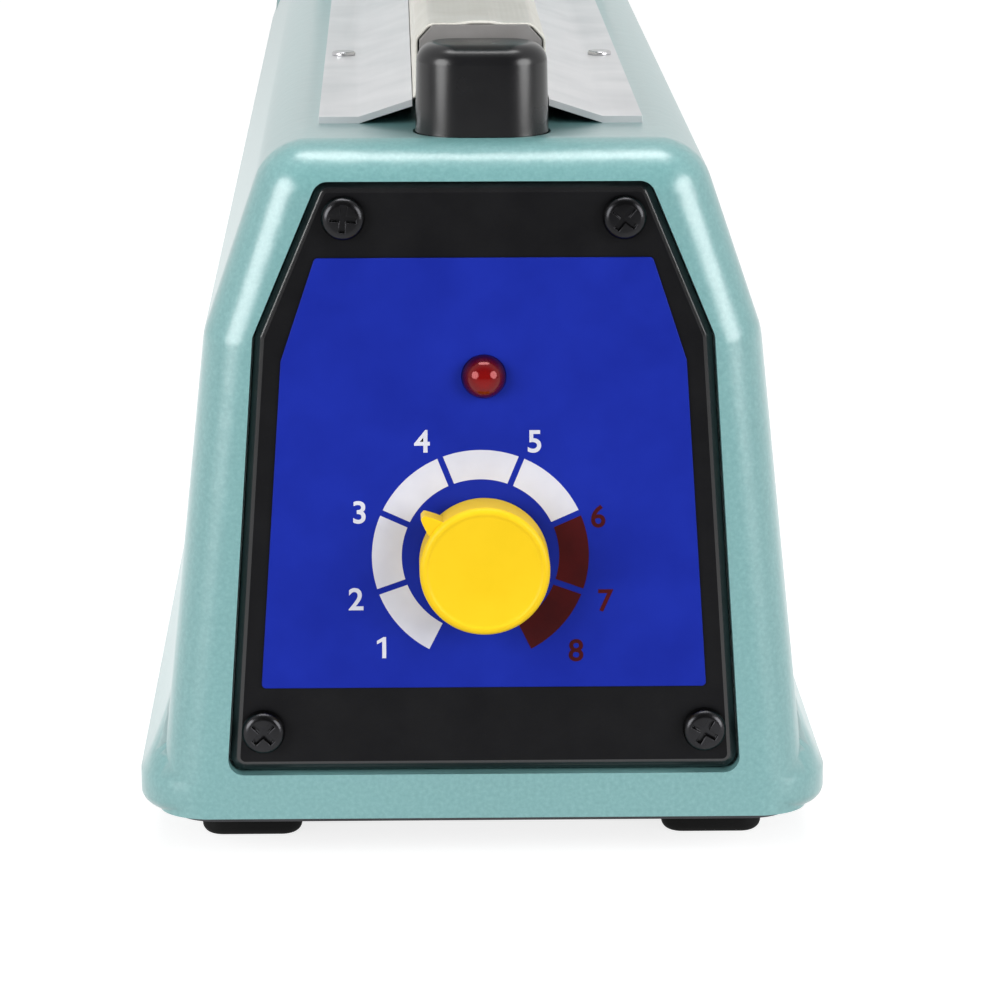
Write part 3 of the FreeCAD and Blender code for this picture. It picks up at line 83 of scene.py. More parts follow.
lens = bpy.data.cameras.new("photo_camera")
lens.lens = FOCAL_MM
lens.sensor_width = SENSOR_MM
lens.sensor_fit = "HORIZONTAL"
lens.clip_start = 0.01
camera = bpy.data.objects.new("photo_camera", lens)
camera.location = EYE
camera.rotation_mode = "QUATERNION"
camera.rotation_quaternion = LOOK.to_track_quat("-Z", "Y")
bpy.context.scene.collection.objects.link(camera)
bpy.context.scene.camera = camera
print("field of view in degrees:", round(math.degrees(2 * math.atan(SENSOR_MM / 2 / FOCAL_MM)), 2))

# %% [markdown]
# A material is a small machine of nodes. Helpers keep the lessons short: one makes a finish with the numbers
# that are the same all over set on its shader, one adds a node and wires its inputs, and the others are the
# patterns that most finishes need: a noise, a ramp of colours, a range of numbers and a bump.

# %% Helpers for finishes
def new_finish(name, sockets):
    """Material whose Principled shader has fixed values on the named sockets."""
    finish = bpy.data.materials.new(name)
    finish.use_nodes = True
    shader = finish.node_tree.nodes["Principled BSDF"]
    for socket, value in sockets.items():
        shader.inputs[socket].default_value = value
    return finish


def add_node(finish, kind, inputs=None, **settings):
    """Node of a kind in a material or the world, with its settings, and with each input wired or set."""
    made = finish.node_tree.nodes.new(kind)
    for name, value in settings.items():
        setattr(made, name, value)
    for name, value in (inputs or {}).items():
        if isinstance(value, bpy.types.NodeSocket):
            finish.node_tree.links.new(value, made.inputs[name])
        else:
            made.inputs[name].default_value = value
    return made


def wire(finish, output, socket):
    """Joins a node's output to a socket of the finish's shader."""
    shader = finish.node_tree.nodes["Principled BSDF"]
    finish.node_tree.links.new(output, shader.inputs[socket])


def object_place(finish, scale=(1.0, 1.0, 1.0)):
    """Place of a point on the piece, stretched along the axes where a pattern needs it."""
    place = add_node(finish, "ShaderNodeTexCoord").outputs["Object"]
    return add_node(finish, "ShaderNodeMapping", {"Vector": place, "Scale": scale}).outputs["Vector"]


def noise(finish, place, size, detail=2.0, roughness=0.5):
    """Soft random pattern, from 0 to 1, whose lumps are about a size in metres across."""
    inputs = {"Vector": place, "Scale": 1.0 / size, "Detail": detail, "Roughness": roughness}
    return add_node(finish, "ShaderNodeTexNoise", inputs).outputs["Fac"]


def ramp(finish, factor, stops):
    """Colour or number that changes with a factor through stops (factor, colour)."""
    made = add_node(finish, "ShaderNodeValToRGB", {"Fac": factor})
    elements = made.color_ramp.elements
    while len(elements) < len(stops):
        elements.new(0.5)
    for element, (position, colour) in zip(elements, stops):
        element.position = position
        element.color = (*colour, 1.0) if len(colour) == 3 else colour
    return made.outputs["Color"]


def grey(finish, factor, low, high):
    """Number from low to high as a factor goes from 0 to 1."""
    inputs = {"Value": factor, "To Min": low, "To Max": high}
    return add_node(finish, "ShaderNodeMapRange", inputs).outputs["Result"]


def bump(finish, height, depth, strength=1.0, below=None):
    """Normal that a height pattern gives, with its depth in metres, on top of another one."""
    inputs = {"Height": height, "Distance": depth, "Strength": strength}
    if below is not None:
        inputs["Normal"] = below
    return add_node(finish, "ShaderNodeBump", inputs).outputs["Normal"]


# %% [markdown]
# The body and the arm have a glossy stove enamel in a pale blue-green. It dries with a fine mottle, like tiny
# hammer marks: pale and dark grains half a millimetre across, and a slower waviness that makes the
# highlights tremble. Two noises of those sizes carry the colour and the bump, and a clear coat that isn't
# quite smooth gives the soft gloss.

# %% Blue-green enamel
GRAIN_SIZE = 0.0005
WAVE_SIZE = 0.0032
enamel = new_finish("blue_green_enamel", {"Coat Weight": 1.0, "Coat Roughness": 0.28, "Coat IOR": 1.6})
enamel_place = object_place(enamel)
grains = noise(enamel, enamel_place, GRAIN_SIZE, detail=3.0, roughness=0.6)
waves = noise(enamel, enamel_place, WAVE_SIZE, detail=2.0)
wire(enamel, ramp(enamel, grains, [(0.30, (0.146, 0.334, 0.338)), (0.52, (0.170, 0.374, 0.376)),
                                   (0.72, (0.200, 0.416, 0.416))]), "Base Color")
wire(enamel, grey(enamel, grains, 0.26, 0.34), "Roughness")
wavy = bump(enamel, waves, 0.00003, strength=0.5)
wire(enamel, bump(enamel, grains, 0.00002, strength=0.4, below=wavy), "Normal")
wire(enamel, bump(enamel, waves, 0.00020, strength=0.5), "Coat Normal")
print("enamel's grains and waves in mm:", GRAIN_SIZE / MM, WAVE_SIZE / MM)

# %% [markdown]
# The plastics, the rubber and the printed inks differ in colour, gloss and grain, but are all made alike: the
# colour drifts a little from place to place, and a fine bump is the grain that the mould leaves. One function
# makes them all, so that each finish is a line of numbers: two colours, roughness, grain size and depth.

# %% Plastics and rubber
def moulded(name, dark, light, rough, grain, depth, specular=0.5):
    """Moulded plastic: a little colour drift, a fine grain of the mould and uneven gloss."""
    finish = new_finish(name, {"Specular IOR Level": specular})
    place = object_place(finish)
    drift = noise(finish, place, 0.006, detail=3.0)
    fine = noise(finish, place, grain, detail=2.0)
    wire(finish, ramp(finish, drift, [(0.3, dark), (0.7, light)]), "Base Color")
    wire(finish, grey(finish, drift, rough - 0.05, rough + 0.05), "Roughness")
    wire(finish, bump(finish, fine, depth, strength=0.5), "Normal")
    return finish


BLACK = ((0.003, 0.003, 0.004), (0.006, 0.006, 0.007))
black_moulding = moulded("black_moulding", *BLACK, 0.42, 0.0004, 0.00003, specular=0.15)
black_edge = moulded("black_edge", *BLACK, 0.20, 0.0006, 0.00001, specular=0.9)
black_gloss = moulded("black_gloss", *BLACK, 0.26, 0.0009, 0.00001, specular=0.55)
yellow_moulding = moulded("yellow_moulding", (0.86, 0.565, 0.007), (0.92, 0.605, 0.011), 0.40, 0.0006,
                          0.00002, specular=0.2)
white_moulding = moulded("white_moulding", (0.70, 0.70, 0.67), (0.78, 0.78, 0.75), 0.40, 0.0006, 0.00002)
laminate = moulded("grey_laminate", (0.22, 0.21, 0.205), (0.28, 0.27, 0.265), 0.55, 0.0003, 0.00004)
board_green = moulded("board_green", (0.020, 0.16, 0.05), (0.035, 0.22, 0.08), 0.35, 0.0008, 0.00003)
coil_tape = moulded("coil_tape", (0.48, 0.33, 0.07), (0.60, 0.44, 0.12), 0.45, 0.0012, 0.00006)
foot_rubber = moulded("foot_rubber", (0.004, 0.004, 0.004), (0.009, 0.009, 0.009), 0.75, 0.0005, 0.00005,
                      specular=0.2)
pale_silicone = moulded("pale_silicone", (0.64, 0.62, 0.57), (0.74, 0.72, 0.67), 0.55, 0.0007, 0.00004)
label_blue = moulded("label_blue", (0.0060, 0.0185, 0.300), (0.0080, 0.0235, 0.350), 0.45, 0.0005, 0.00002,
                     specular=0.12)
white_ink = moulded("white_ink", (0.60, 0.61, 0.70), (0.70, 0.71, 0.80), 0.55, 0.0004, 0.00002, specular=0.2)
maroon_ink = moulded("maroon_ink", (0.045, 0.003, 0.004), (0.075, 0.004, 0.005), 0.55, 0.0004, 0.00002,
                     specular=0.12)
print("finishes with the plastics:", len(bpy.data.materials))

# %% [markdown]
# A metal shows how it was worked. Rolled and drawn sheet has fine lines one way, and plating is even. The
# same noise serves for both: where lines are needed, its place is squeezed along one axis, which draws its
# lumps out into streaks.

# %% Metals
def bare_metal(name, dark, light, rough, stretch=(1.0, 1.0, 1.0), size=0.0008, depth=0.00002, metallic=1.0):
    """Metal with streaks along one axis in gloss and bump, where the pattern is stretched, and soft clouds of
    colour.
    """
    finish = new_finish(name, {"Metallic": metallic})
    streaks = noise(finish, object_place(finish, stretch), size, detail=4.0, roughness=0.6)
    clouds = noise(finish, object_place(finish), 0.009, detail=2.0)
    wire(finish, ramp(finish, clouds, [(0.3, dark), (0.7, light)]), "Base Color")
    wire(finish, grey(finish, streaks, rough - 0.08, rough + 0.08), "Roughness")
    wire(finish, bump(finish, streaks, depth, strength=0.4), "Normal")
    return finish


zinc = bare_metal("zinc_plate", (0.52, 0.52, 0.53), (0.66, 0.66, 0.67), 0.30)
black_steel = bare_metal("black_steel", (0.028, 0.028, 0.030), (0.048, 0.048, 0.051), 0.24)
DRAWN = (1.0, 0.04, 1.0)
dark_sheet = bare_metal("dark_sheet", (0.06, 0.06, 0.065), (0.10, 0.10, 0.105), 0.48,
                        stretch=(1.0, 0.05, 1.0))
bright_plate = bare_metal("bright_plate", (0.74, 0.75, 0.77), (0.86, 0.86, 0.88), 0.34, stretch=DRAWN,
                          metallic=0.5)
plain_aluminium = bare_metal("plain_aluminium", (0.66, 0.66, 0.67), (0.78, 0.78, 0.79), 0.34, stretch=DRAWN)
bare_brass = bare_metal("bare_brass", (0.66, 0.46, 0.17), (0.78, 0.58, 0.25), 0.30)
resistance_alloy = bare_metal("resistance_alloy", (0.38, 0.36, 0.34), (0.50, 0.47, 0.44), 0.36,
                              stretch=(1.0, 0.03, 1.0))
lamination_steel = bare_metal("lamination_steel", (0.13, 0.13, 0.135), (0.22, 0.22, 0.225), 0.42,
                              stretch=(0.02, 1.0, 0.02), size=0.0005, depth=0.0002)
print("finishes with the metals:", len(bpy.data.materials))

# %% [markdown]
# The lamp's lens is clear red. Its colour is painted light and shade: brighter in its middle, a painted glow,
# and dark towards its rim, a painted shade, so it follows the distance from the lamp's axis.

# %% Red lens
LAMP_Z = 57.3
LAMP_RADIUS = 2.5
red_lens = new_finish("red_lens", {"Specular IOR Level": 0.8, "Specular Tint": (1.0, 0.35, 0.35, 1.0)})
from_axis = add_node(red_lens, "ShaderNodeVectorMath", {0: object_place(red_lens, (1.0, 0.0, 1.0)),
                                                        1: (0.0, 0.0, LAMP_Z * MM)}, operation="DISTANCE")
across_lens = add_node(red_lens, "ShaderNodeMath", {0: from_axis.outputs["Value"], 1: LAMP_RADIUS * MM},
                       operation="DIVIDE").outputs[0]
# Painted glow in the lens's middle and painted shade at its rim.
wire(red_lens, ramp(red_lens, across_lens, [(0.25, (0.200, 0.002, 0.002)), (0.70, (0.120, 0.001, 0.003)),
                                            (0.97, (0.020, 0.000, 0.003))]), "Base Color")
wire(red_lens, grey(red_lens, noise(red_lens, object_place(red_lens), 0.0012), 0.04, 0.14), "Roughness")
print("finishes with the lens:", len(bpy.data.materials))

# %% [markdown]
# Most pieces keep the shape of their solid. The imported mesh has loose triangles, so a copy of it gets one
# vertex for each place, its flat regions are joined into whole faces, and its sharp edges get the small round
# that a casting, a moulding or a bent sheet has. That round is what catches the light.

# %% Smoothed copies of solids
SHARP = math.radians(32.0)
FLAT = math.radians(0.3)
PLACE_DIGITS = 7


def smoothed_mesh(node_name):
    """Mesh of a node with one vertex for each place and one face for each flat region."""
    source = frame["nodes"][node_name].data
    places = np.empty(len(source.vertices) * 3, np.float32)
    source.vertices.foreach_get("co", places)
    corners = np.empty(len(source.loops), np.int32)
    source.loops.foreach_get("vertex_index", corners)
    rounded = np.round(places.reshape(-1, 3).astype(np.float64), PLACE_DIGITS)
    unique, numbers = np.unique(rounded, axis=0, return_inverse=True)
    triangles = numbers.reshape(-1)[corners].reshape(-1, 3)
    whole = ((triangles[:, 0] != triangles[:, 1]) & (triangles[:, 1] != triangles[:, 2])
             & (triangles[:, 2] != triangles[:, 0]))
    mesh = bpy.data.meshes.new(node_name + "_surface")
    mesh.from_pydata(unique.tolist(), [], triangles[whole].tolist())
    shape = bmesh.new()
    shape.from_mesh(mesh)
    bmesh.ops.dissolve_limit(shape, angle_limit=FLAT, use_dissolve_boundaries=False,
                             verts=shape.verts, edges=shape.edges, delimit=set())
    shape.to_mesh(mesh)
    shape.free()
    return mesh


def shade(mesh):
    """Smooth shading that stays crisp at sharp edges."""
    mesh.polygons.foreach_set("use_smooth", np.ones(len(mesh.polygons), bool))
    mesh.set_sharp_from_angle(angle=SHARP)


def even_normals(piece):
    """Large faces rule the shading, so that flats stay flat beside their rounds."""
    modifier = piece.modifiers.new("even_normals", "WEIGHTED_NORMAL")
    modifier.keep_sharp = True


def add_piece(name, mesh, finish, body):
    """Object for a mesh at the origin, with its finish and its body."""
    mesh.materials.clear()
    mesh.materials.append(finish)
    piece = bpy.data.objects.new(name, mesh)
    bpy.context.scene.collection.objects.link(piece)
    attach(piece, body)
    return piece


BODY_OF = {node: body for body, nodes in frame["record"]["behaviour"]["bodies"].items() for node in nodes}


def smoothed_piece(node_name, finish, round_mm):
    """Piece that stands for a node: its smoothed copy with rounded edges."""
    mesh = smoothed_mesh(node_name)
    shade(mesh)
    piece = add_piece(node_name + "_dressed", mesh, finish, BODY_OF[node_name])
    if round_mm > 0:
        edge = piece.modifiers.new("edge_round", "BEVEL")
        edge.width = round_mm * MM
        edge.segments = 2
        edge.limit_method = "ANGLE"
        edge.angle_limit = SHARP
        edge.use_clamp_overlap = True
        edge.harden_normals = False
    even_normals(piece)
    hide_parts(node_name)
    return piece


# %% [markdown]
# Each outer piece is now one row: its node, its finish and the round of its edges in millimetres. Cast edges
# are rounder than those of a cut sheet, and a screw has hardly any.

# %% Outer pieces that keep their solids' shapes
DRESSED = [
    ("body_casting", enamel, 0.5),
    ("press_arm", enamel, 0.5),
    ("panel_label", label_blue, 0.08),
    ("panel_screws", black_steel, 0.12),
    ("arm_grip", black_moulding, 0.6),
    ("grip_screws", zinc, 0.1),
    ("left_deck_plate", bright_plate, 0.15),
    ("right_deck_plate", bright_plate, 0.15),
    ("deck_screws", zinc, 0.1),
    ("sealing_bar", laminate, 0.06),
    ("front_electrode", bare_brass, 0.15),
    ("rear_electrode", bare_brass, 0.15),
    ("heating_wire", resistance_alloy, 0.05),
    ("base_plate", dark_sheet, 0.2),
    ("rubber_feet", foot_rubber, 0.4),
    ("base_screws", zinc, 0.1),
    ("feet_screws", zinc, 0.1),
    ("hinge_pin", zinc, 0.3),
    ("pin_clips", zinc, 0.1),
    ("hinge_bushes", bare_brass, 0.1),
    ("strip_holder", plain_aluminium, 0.2),
    ("silicone_strip", pale_silicone, 0.1),
    ("striker_screw", zinc, 0.1),
    ("striker_nut", zinc, 0.2),
    ("cord_gland", black_gloss, 0.3),
]
for node_name, finish, round_mm in DRESSED:
    smoothed_piece(node_name, finish, round_mm)
print("smoothed pieces:", len(DRESSED))

# %% [markdown]
# The bezel round the panel has a wider, polished round on the outer edge of its face. A point of the face
# lies on that edge if it is the furthest one in some direction, which tells the outline from the holes inside
# it. The edges between such points get a bevel weight, and the bevel gives its new faces the polished finish.

# %% Bezel's polished edge
BEZEL_ROUND = 1.2
ON_FACE = 0.000001
ON_OUTLINE = 0.00002
bezel = smoothed_piece("front_bezel", black_moulding, 0.0)
bezel_places = np.empty(len(bezel.data.vertices) * 3, np.float32)
bezel.data.vertices.foreach_get("co", bezel_places)
bezel_places = bezel_places.reshape(-1, 3)
face_points = np.flatnonzero(bezel_places[:, 1] < bezel_places[:, 1].min() + ON_FACE)
turns = np.radians(np.arange(0.0, 360.0, 0.5))
reach = bezel_places[face_points][:, [0, 2]] @ np.stack([np.cos(turns), np.sin(turns)])
outline = set(face_points[(reach > reach.max(axis=0) - ON_OUTLINE).any(axis=1)].tolist())
weights = bezel.data.attributes.new("bevel_weight_edge", "FLOAT", "EDGE")
for edge in bezel.data.edges:
    weights.data[edge.index].value = float(outline.issuperset(edge.vertices))
bezel.data.materials.append(black_edge)
polish = bezel.modifiers.new("polished_edge", "BEVEL")
polish.width = BEZEL_ROUND * MM
polish.segments = 6
polish.limit_method = "WEIGHT"
polish.loop_slide = False
polish.material = 1
bezel.modifiers.move(1, 0)
print("points on the bezel's outline:", len(outline))

# %% [markdown]
# The timer, the switch and the transformer are inside the body and don't show. Their solids stay as they are
# and only get finishes, by putting a material in the node's slot.

# %% Inner pieces, which keep their solids
INNER = {
    "potentiometer": zinc,
    "pot_nut": zinc,
    "pot_shaft": zinc,
    "timer_board": board_green,
    "board_screws": zinc,
    "timer_relay": black_gloss,
    "timing_capacitor": plain_aluminium,
    "switch_bracket": zinc,
    "microswitch": black_moulding,
    "switch_plunger": white_moulding,
    "transformer_core": lamination_steel,
    "transformer_coil": coil_tape,
    "transformer_strap": zinc,
    "transformer_screws": zinc,
    "terminal_block": black_moulding,
    "terminal_screws": zinc,
    "gland_nut": black_gloss,
}
for node_name, finish in INNER.items():
    solid = frame["nodes"][node_name].data
    solid.materials.clear()
    solid.materials.append(finish)
print("inner pieces:", len(INNER))

# %% [markdown]
# New pieces are grids of points. A row and a column number a point, and four neighbours make a face. A grid
# that closes on itself joins its last line to its first, and points that fall together at a pole become one.

# %% Grids of points
SAME_PLACE = 0.0000001


def grid_faces(rows, columns, close_columns=False):
    """Faces of a grid: each joins a point to its neighbours in the next row and column."""
    index = np.arange(rows * columns).reshape(rows, columns)
    if close_columns:
        index = np.hstack([index, index[:, :1]])
    faces = np.stack([index[:-1, :-1], index[1:, :-1], index[1:, 1:], index[:-1, 1:]], axis=-1)
    return faces.reshape(-1, 4)


def grid_mesh(name, points, close_columns=False):
    """Mesh of points [row, column, xyz], with faces between neighbours and normals outwards."""
    mesh = bpy.data.meshes.new(name)
    faces = grid_faces(*points.shape[:2], close_columns)
    mesh.from_pydata(points.reshape(-1, 3).tolist(), [], faces.tolist())
    shape = bmesh.new()
    shape.from_mesh(mesh)
    bmesh.ops.remove_doubles(shape, verts=shape.verts, dist=SAME_PLACE)
    bmesh.ops.dissolve_degenerate(shape, edges=shape.edges, dist=SAME_PLACE)
    bmesh.ops.recalc_face_normals(shape, faces=shape.faces)
    shape.to_mesh(mesh)
    shape.free()
    shade(mesh)
    return mesh


def arc(centre, radius, start, end, count):
    """Points on an arc about a centre, angles in degrees."""
    turn = np.radians(np.linspace(start, end, count))
    return np.stack([centre[0] + radius * np.cos(turn), centre[1] + radius * np.sin(turn)], axis=-1)


# %% [markdown]
# The timer knob is a yellow disc with a low rim and a narrow pointer on its edge. Its surface is a profile
# turned about the shaft, with a radius that grows where the pointer stands. The pointer's share of each
# profile point is 1 between its front and back faces and 0 elsewhere.

# %% Timer knob
knob_low, knob_high = (np.array(corner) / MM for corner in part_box("timer_knob"))
KNOB_FACE = knob_low[1]
KNOB_BACK = knob_high[1]
KNOB_CENTRE_Z = 35.9
KNOB_RADIUS = 7.4
KNOB_DEPTH = KNOB_BACK - KNOB_FACE
KNOB_STEPS = 480
POINTER_TIP = 9.4
POINTER_TURN = math.radians(138.7)
POINTER_ROOT_ANGLE = 0.155
POINTER_TIP_ANGLE = 0.03

knob_profile = np.vstack([
    [(0.0, 0.16), (6.2, 0.16), (6.4, 0.13), (6.55, 0.05), (6.65, 0.0), (6.75, 0.0)],
    arc((6.75, 0.65), 0.65, -90.0, 0.0, 7),
    [(KNOB_RADIUS, 0.70), (KNOB_RADIUS, 3.70), (KNOB_RADIUS, 3.72), (KNOB_RADIUS, KNOB_DEPTH),
     (6.0, KNOB_DEPTH), (6.0, 4.0), (3.0, 4.0), (3.0, 1.0), (0.0, 1.0)],
])
POINTER_ROWS = slice(13, 15)
knob_share = np.zeros(len(knob_profile))
knob_share[POINTER_ROWS] = 1.0
knob_turn = np.linspace(-math.pi, math.pi, KNOB_STEPS, endpoint=False)
from_pointer = np.abs(np.angle(np.exp(1j * (knob_turn - POINTER_TURN))))
pointer = np.clip((POINTER_ROOT_ANGLE - from_pointer) / (POINTER_ROOT_ANGLE - POINTER_TIP_ANGLE), 0.0, 1.0)
knob_radius = knob_profile[:, :1] + (POINTER_TIP - KNOB_RADIUS) * knob_share[:, None] * pointer[None, :]
knob_points = np.stack([knob_radius * np.cos(knob_turn),
                        np.broadcast_to(KNOB_FACE + knob_profile[:, 1:], knob_radius.shape),
                        KNOB_CENTRE_Z + knob_radius * np.sin(knob_turn)], axis=-1)
knob_mesh = grid_mesh("timer_knob_surface", knob_points * MM, close_columns=True)
knob = add_piece("timer_knob_dressed", knob_mesh, yellow_moulding, "knob")
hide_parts("timer_knob")
print("knob's faces:", len(knob.data.polygons))

# %% [markdown]
# The switch button is polished black plastic. Its surface is a stack of rounded rectangles: each row has a
# width, a depth, a corner radius and a height, from the middle of the top down to the tip of its stem.

# %% Switch button
def rounded_rectangle(half_x, half_y, radius, count=24):
    """Rectangle whose corners are arcs: each corner's centre plus a quarter turn of its radius."""
    turns = np.linspace(0.0, math.pi / 2, count)
    rows = []
    for quarter, (sx, sy) in enumerate([(1, 1), (-1, 1), (-1, -1), (1, -1)]):
        turn = turns + quarter * math.pi / 2
        rows.append(np.stack([sx * (half_x - radius) + radius * np.cos(turn),
                              sy * (half_y - radius) + radius * np.sin(turn)], axis=-1))
    return np.vstack(rows)


button_low, button_high = (np.array(corner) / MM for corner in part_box("switch_button"))
BUTTON_Y = (button_low[1] + button_high[1]) / 2
BUTTON_TOP = button_high[2]
BODY_TOP = 83.9
BUTTON_HALF = (7.6, 5.5)
BUTTON_CORNER = 5.0
TOP_ROUND = 2.2
DRAFT = 0.15
FLANGE_TOP = 80.0
FLANGE_BASE = 78.0
FLANGE_REACH = 1.4
STEM_RADIUS = 2.0
LEAST_CORNER = 0.6
MIDDLE = 0.001
button_round = arc((TOP_ROUND, BUTTON_TOP - TOP_ROUND), TOP_ROUND, 90.0, 180.0, 9)
button_rows = [(DRAFT + inset, level) for inset, level in button_round]
button_rows += [(0.0, BODY_TOP), (0.0, FLANGE_TOP), (-FLANGE_REACH, FLANGE_TOP), (-FLANGE_REACH, FLANGE_BASE)]
button_rings = [rounded_rectangle(MIDDLE, MIDDLE, MIDDLE), rounded_rectangle(3.0, 1.2, 1.0)]
button_levels = [BUTTON_TOP, BUTTON_TOP]
for inset, level in button_rows:
    half_x = BUTTON_HALF[0] - inset
    half_y = BUTTON_HALF[1] - inset
    button_rings.append(rounded_rectangle(half_x, half_y, max(BUTTON_CORNER - inset, LEAST_CORNER)))
    button_levels.append(level)
for radius, level in ((STEM_RADIUS, FLANGE_BASE), (STEM_RADIUS, button_low[2]), (MIDDLE, button_low[2])):
    button_rings.append(rounded_rectangle(radius, radius, radius))
    button_levels.append(level)
button_rings = np.array(button_rings)
button_heights = np.broadcast_to(np.array(button_levels)[:, None, None], button_rings.shape[:2] + (1,))
button_points = np.concatenate([button_rings, button_heights], axis=-1)
button_points[..., 1] += BUTTON_Y
button_mesh = grid_mesh("switch_button_surface", button_points * MM, close_columns=True)
button = add_piece("switch_button_dressed", button_mesh, black_gloss, "button")
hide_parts("switch_button")
print("button's faces:", len(button.data.polygons))

# %% [markdown]
# The lamp is a five-millimetre lens. Its profile is a quarter circle for the dome and straight lines for the
# body and the collar behind the panel, turned about the lamp's middle.

# %% Indicator lamp
LABEL_FACE = -159.3
COLLAR_RADIUS = 3.0
COLLAR_FRONT = -156.5
COLLAR_BACK = -155.5
LAMP_BACK = -153.3
LAMP_STEPS = 64
lamp_profile = np.vstack([arc((0.0, LABEL_FACE), LAMP_RADIUS, -90.0, 0.0, 16),
                          [(LAMP_RADIUS, COLLAR_FRONT), (COLLAR_RADIUS, COLLAR_FRONT),
                           (COLLAR_RADIUS, COLLAR_BACK), (LAMP_RADIUS, COLLAR_BACK),
                           (LAMP_RADIUS, LAMP_BACK), (0.0, LAMP_BACK)]])
lamp_turn = np.linspace(0.0, 2 * math.pi, LAMP_STEPS, endpoint=False)
lamp_points = np.stack([lamp_profile[:, :1] * np.cos(lamp_turn),
                        np.broadcast_to(lamp_profile[:, 1:], (len(lamp_profile), LAMP_STEPS)),
                        LAMP_Z + lamp_profile[:, :1] * np.sin(lamp_turn)], axis=-1)
lamp_mesh = grid_mesh("indicator_lamp_surface", lamp_points * MM, close_columns=True)
lamp = add_piece("indicator_lamp_dressed", lamp_mesh, red_lens, "base")
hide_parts("indicator_lamp")
print("lamp's faces:", len(lamp.data.polygons))

# %% [markdown]
# The dial is printed on the label as a ring of seven parts, five white and two dark red, with numbers from 1
# to 8 around it. A part of the ring is a grid over radius and angle, whose two ends run parallel to the gap
# between parts: at a radius r the half gap g takes up the angle arcsin(g / r).

# %% Dial ring
RING_INNER = 9.0
RING_OUTER = 12.4
RING_START = 243.3
RING_STEP = 43.86
RING_PARTS = 7
WHITE_PARTS = 5
HALF_GAP = 0.35
INK_THICK = 0.02
INK_FACE = LABEL_FACE - INK_THICK
DIAL_X = -0.4
DIAL_Z = 36.4


def ring_part(start, end):
    """Grid over radius and angle between two angles in degrees, kept half a gap away from both."""
    radius = np.linspace(RING_INNER, RING_OUTER, 4)[:, None]
    trim = np.arcsin(HALF_GAP / radius)
    share = np.linspace(0.0, 1.0, 24)[None, :]
    turn = math.radians(start) - trim + (math.radians(end - start) + 2 * trim) * share
    points = np.stack([DIAL_X + radius * np.cos(turn), np.full_like(turn, INK_FACE),
                       DIAL_Z + radius * np.sin(turn)], axis=-1)
    return points


def ink_sheet(name, mesh, pale):
    """Printed mesh on the label, white or dark red, flat shaded, with the ink's thickness behind its face."""
    mesh.polygons.foreach_set("use_smooth", np.zeros(len(mesh.polygons), bool))
    finish, slot = (white_ink, "white_plastic") if pale else (maroon_ink, "red_lens")
    sheet = add_piece(name, mesh, finish, "base")
    thick = sheet.modifiers.new("ink_thickness", "SOLIDIFY")
    thick.thickness = INK_THICK * MM
    thick.offset = -1.0


for part in range(RING_PARTS):
    start = RING_START - RING_STEP * part
    ring_mesh = grid_mesh("dial_ring_surface", ring_part(start, start - RING_STEP) * MM)
    ink_sheet(f"dial_ring_{part + 1}", ring_mesh, part < WHITE_PARTS)
print("ring parts:", RING_PARTS)

# %% [markdown]
# The numbers are Blender's built-in letters, turned into flat meshes and stood upright on the label. The
# dial's number one has a plain stem with a flag, unlike the built-in one, so it is drawn as its own outline.

# %% Dial numbers
NUMBER_PLACES = [(-11.76, 25.68), (-14.65, 31.43), (-14.20, 41.60), (-7.04, 49.84), (5.75, 49.76),
                 (13.04, 41.00), (13.95, 31.10), (10.56, 25.24)]
NUMBER_HEIGHT = 2.5
NUMBER_BOLD = 0.06
CAPITAL_SHARE = 0.69
ONE = np.array([(0.40, 0.0), (0.58, 0.0), (0.58, 1.0), (0.46, 1.0), (0.16, 0.82), (0.16, 0.66),
                (0.40, 0.79)])


def one_mesh():
    """Flat mesh of the number one: a stem with a flag."""
    mesh = bpy.data.meshes.new("number_one")
    flat = np.column_stack([ONE * NUMBER_HEIGHT * MM, np.zeros(len(ONE))])
    mesh.from_pydata(flat.tolist(), [], [list(range(len(ONE)))])
    return mesh


def letter_mesh(text):
    """Flat mesh of a number, made from the plain built-in letters."""
    curve = bpy.data.curves.new("number", "FONT")
    curve.body = text
    curve.size = NUMBER_HEIGHT * MM / CAPITAL_SHARE
    curve.offset = NUMBER_BOLD * MM
    curve.resolution_u = 6
    holder = bpy.data.objects.new("number_holder", curve)
    bpy.context.scene.collection.objects.link(holder)
    bpy.context.view_layer.update()
    mesh = bpy.data.meshes.new_from_object(holder.evaluated_get(bpy.context.evaluated_depsgraph_get()))
    bpy.data.objects.remove(holder)
    return mesh


def number_mesh(value, centre_x, centre_z):
    """Flat mesh of a number, upright on the label about a centre."""
    mesh = one_mesh() if value == 1 else letter_mesh(str(value))
    flat = np.empty(len(mesh.vertices) * 3, np.float32)
    mesh.vertices.foreach_get("co", flat)
    flat = flat.reshape(-1, 3)
    middle = (flat.min(axis=0) + flat.max(axis=0)) / 2
    upright = np.stack([flat[:, 0] - middle[0] + centre_x * MM, np.full(len(flat), INK_FACE * MM),
                        flat[:, 1] - middle[1] + centre_z * MM], axis=-1)
    mesh.vertices.foreach_set("co", upright.astype(np.float32).reshape(-1))
    mesh.update()
    return mesh


for value, (centre_x, centre_z) in enumerate(NUMBER_PLACES, start=1):
    ink_sheet(f"dial_number_{value}", number_mesh(value, centre_x, centre_z), value <= WHITE_PARTS)
print("printed numbers:", len(NUMBER_PLACES))

# %% [markdown]
# A cream cloth with a non-stick coating lies over the bar and the heating wire. Its weave is two sets of
# bands at right angles, multiplied, so that a thread stands highest where two cross. The bands follow the
# sheet, and so they read a map of the distance across and along it, in metres.

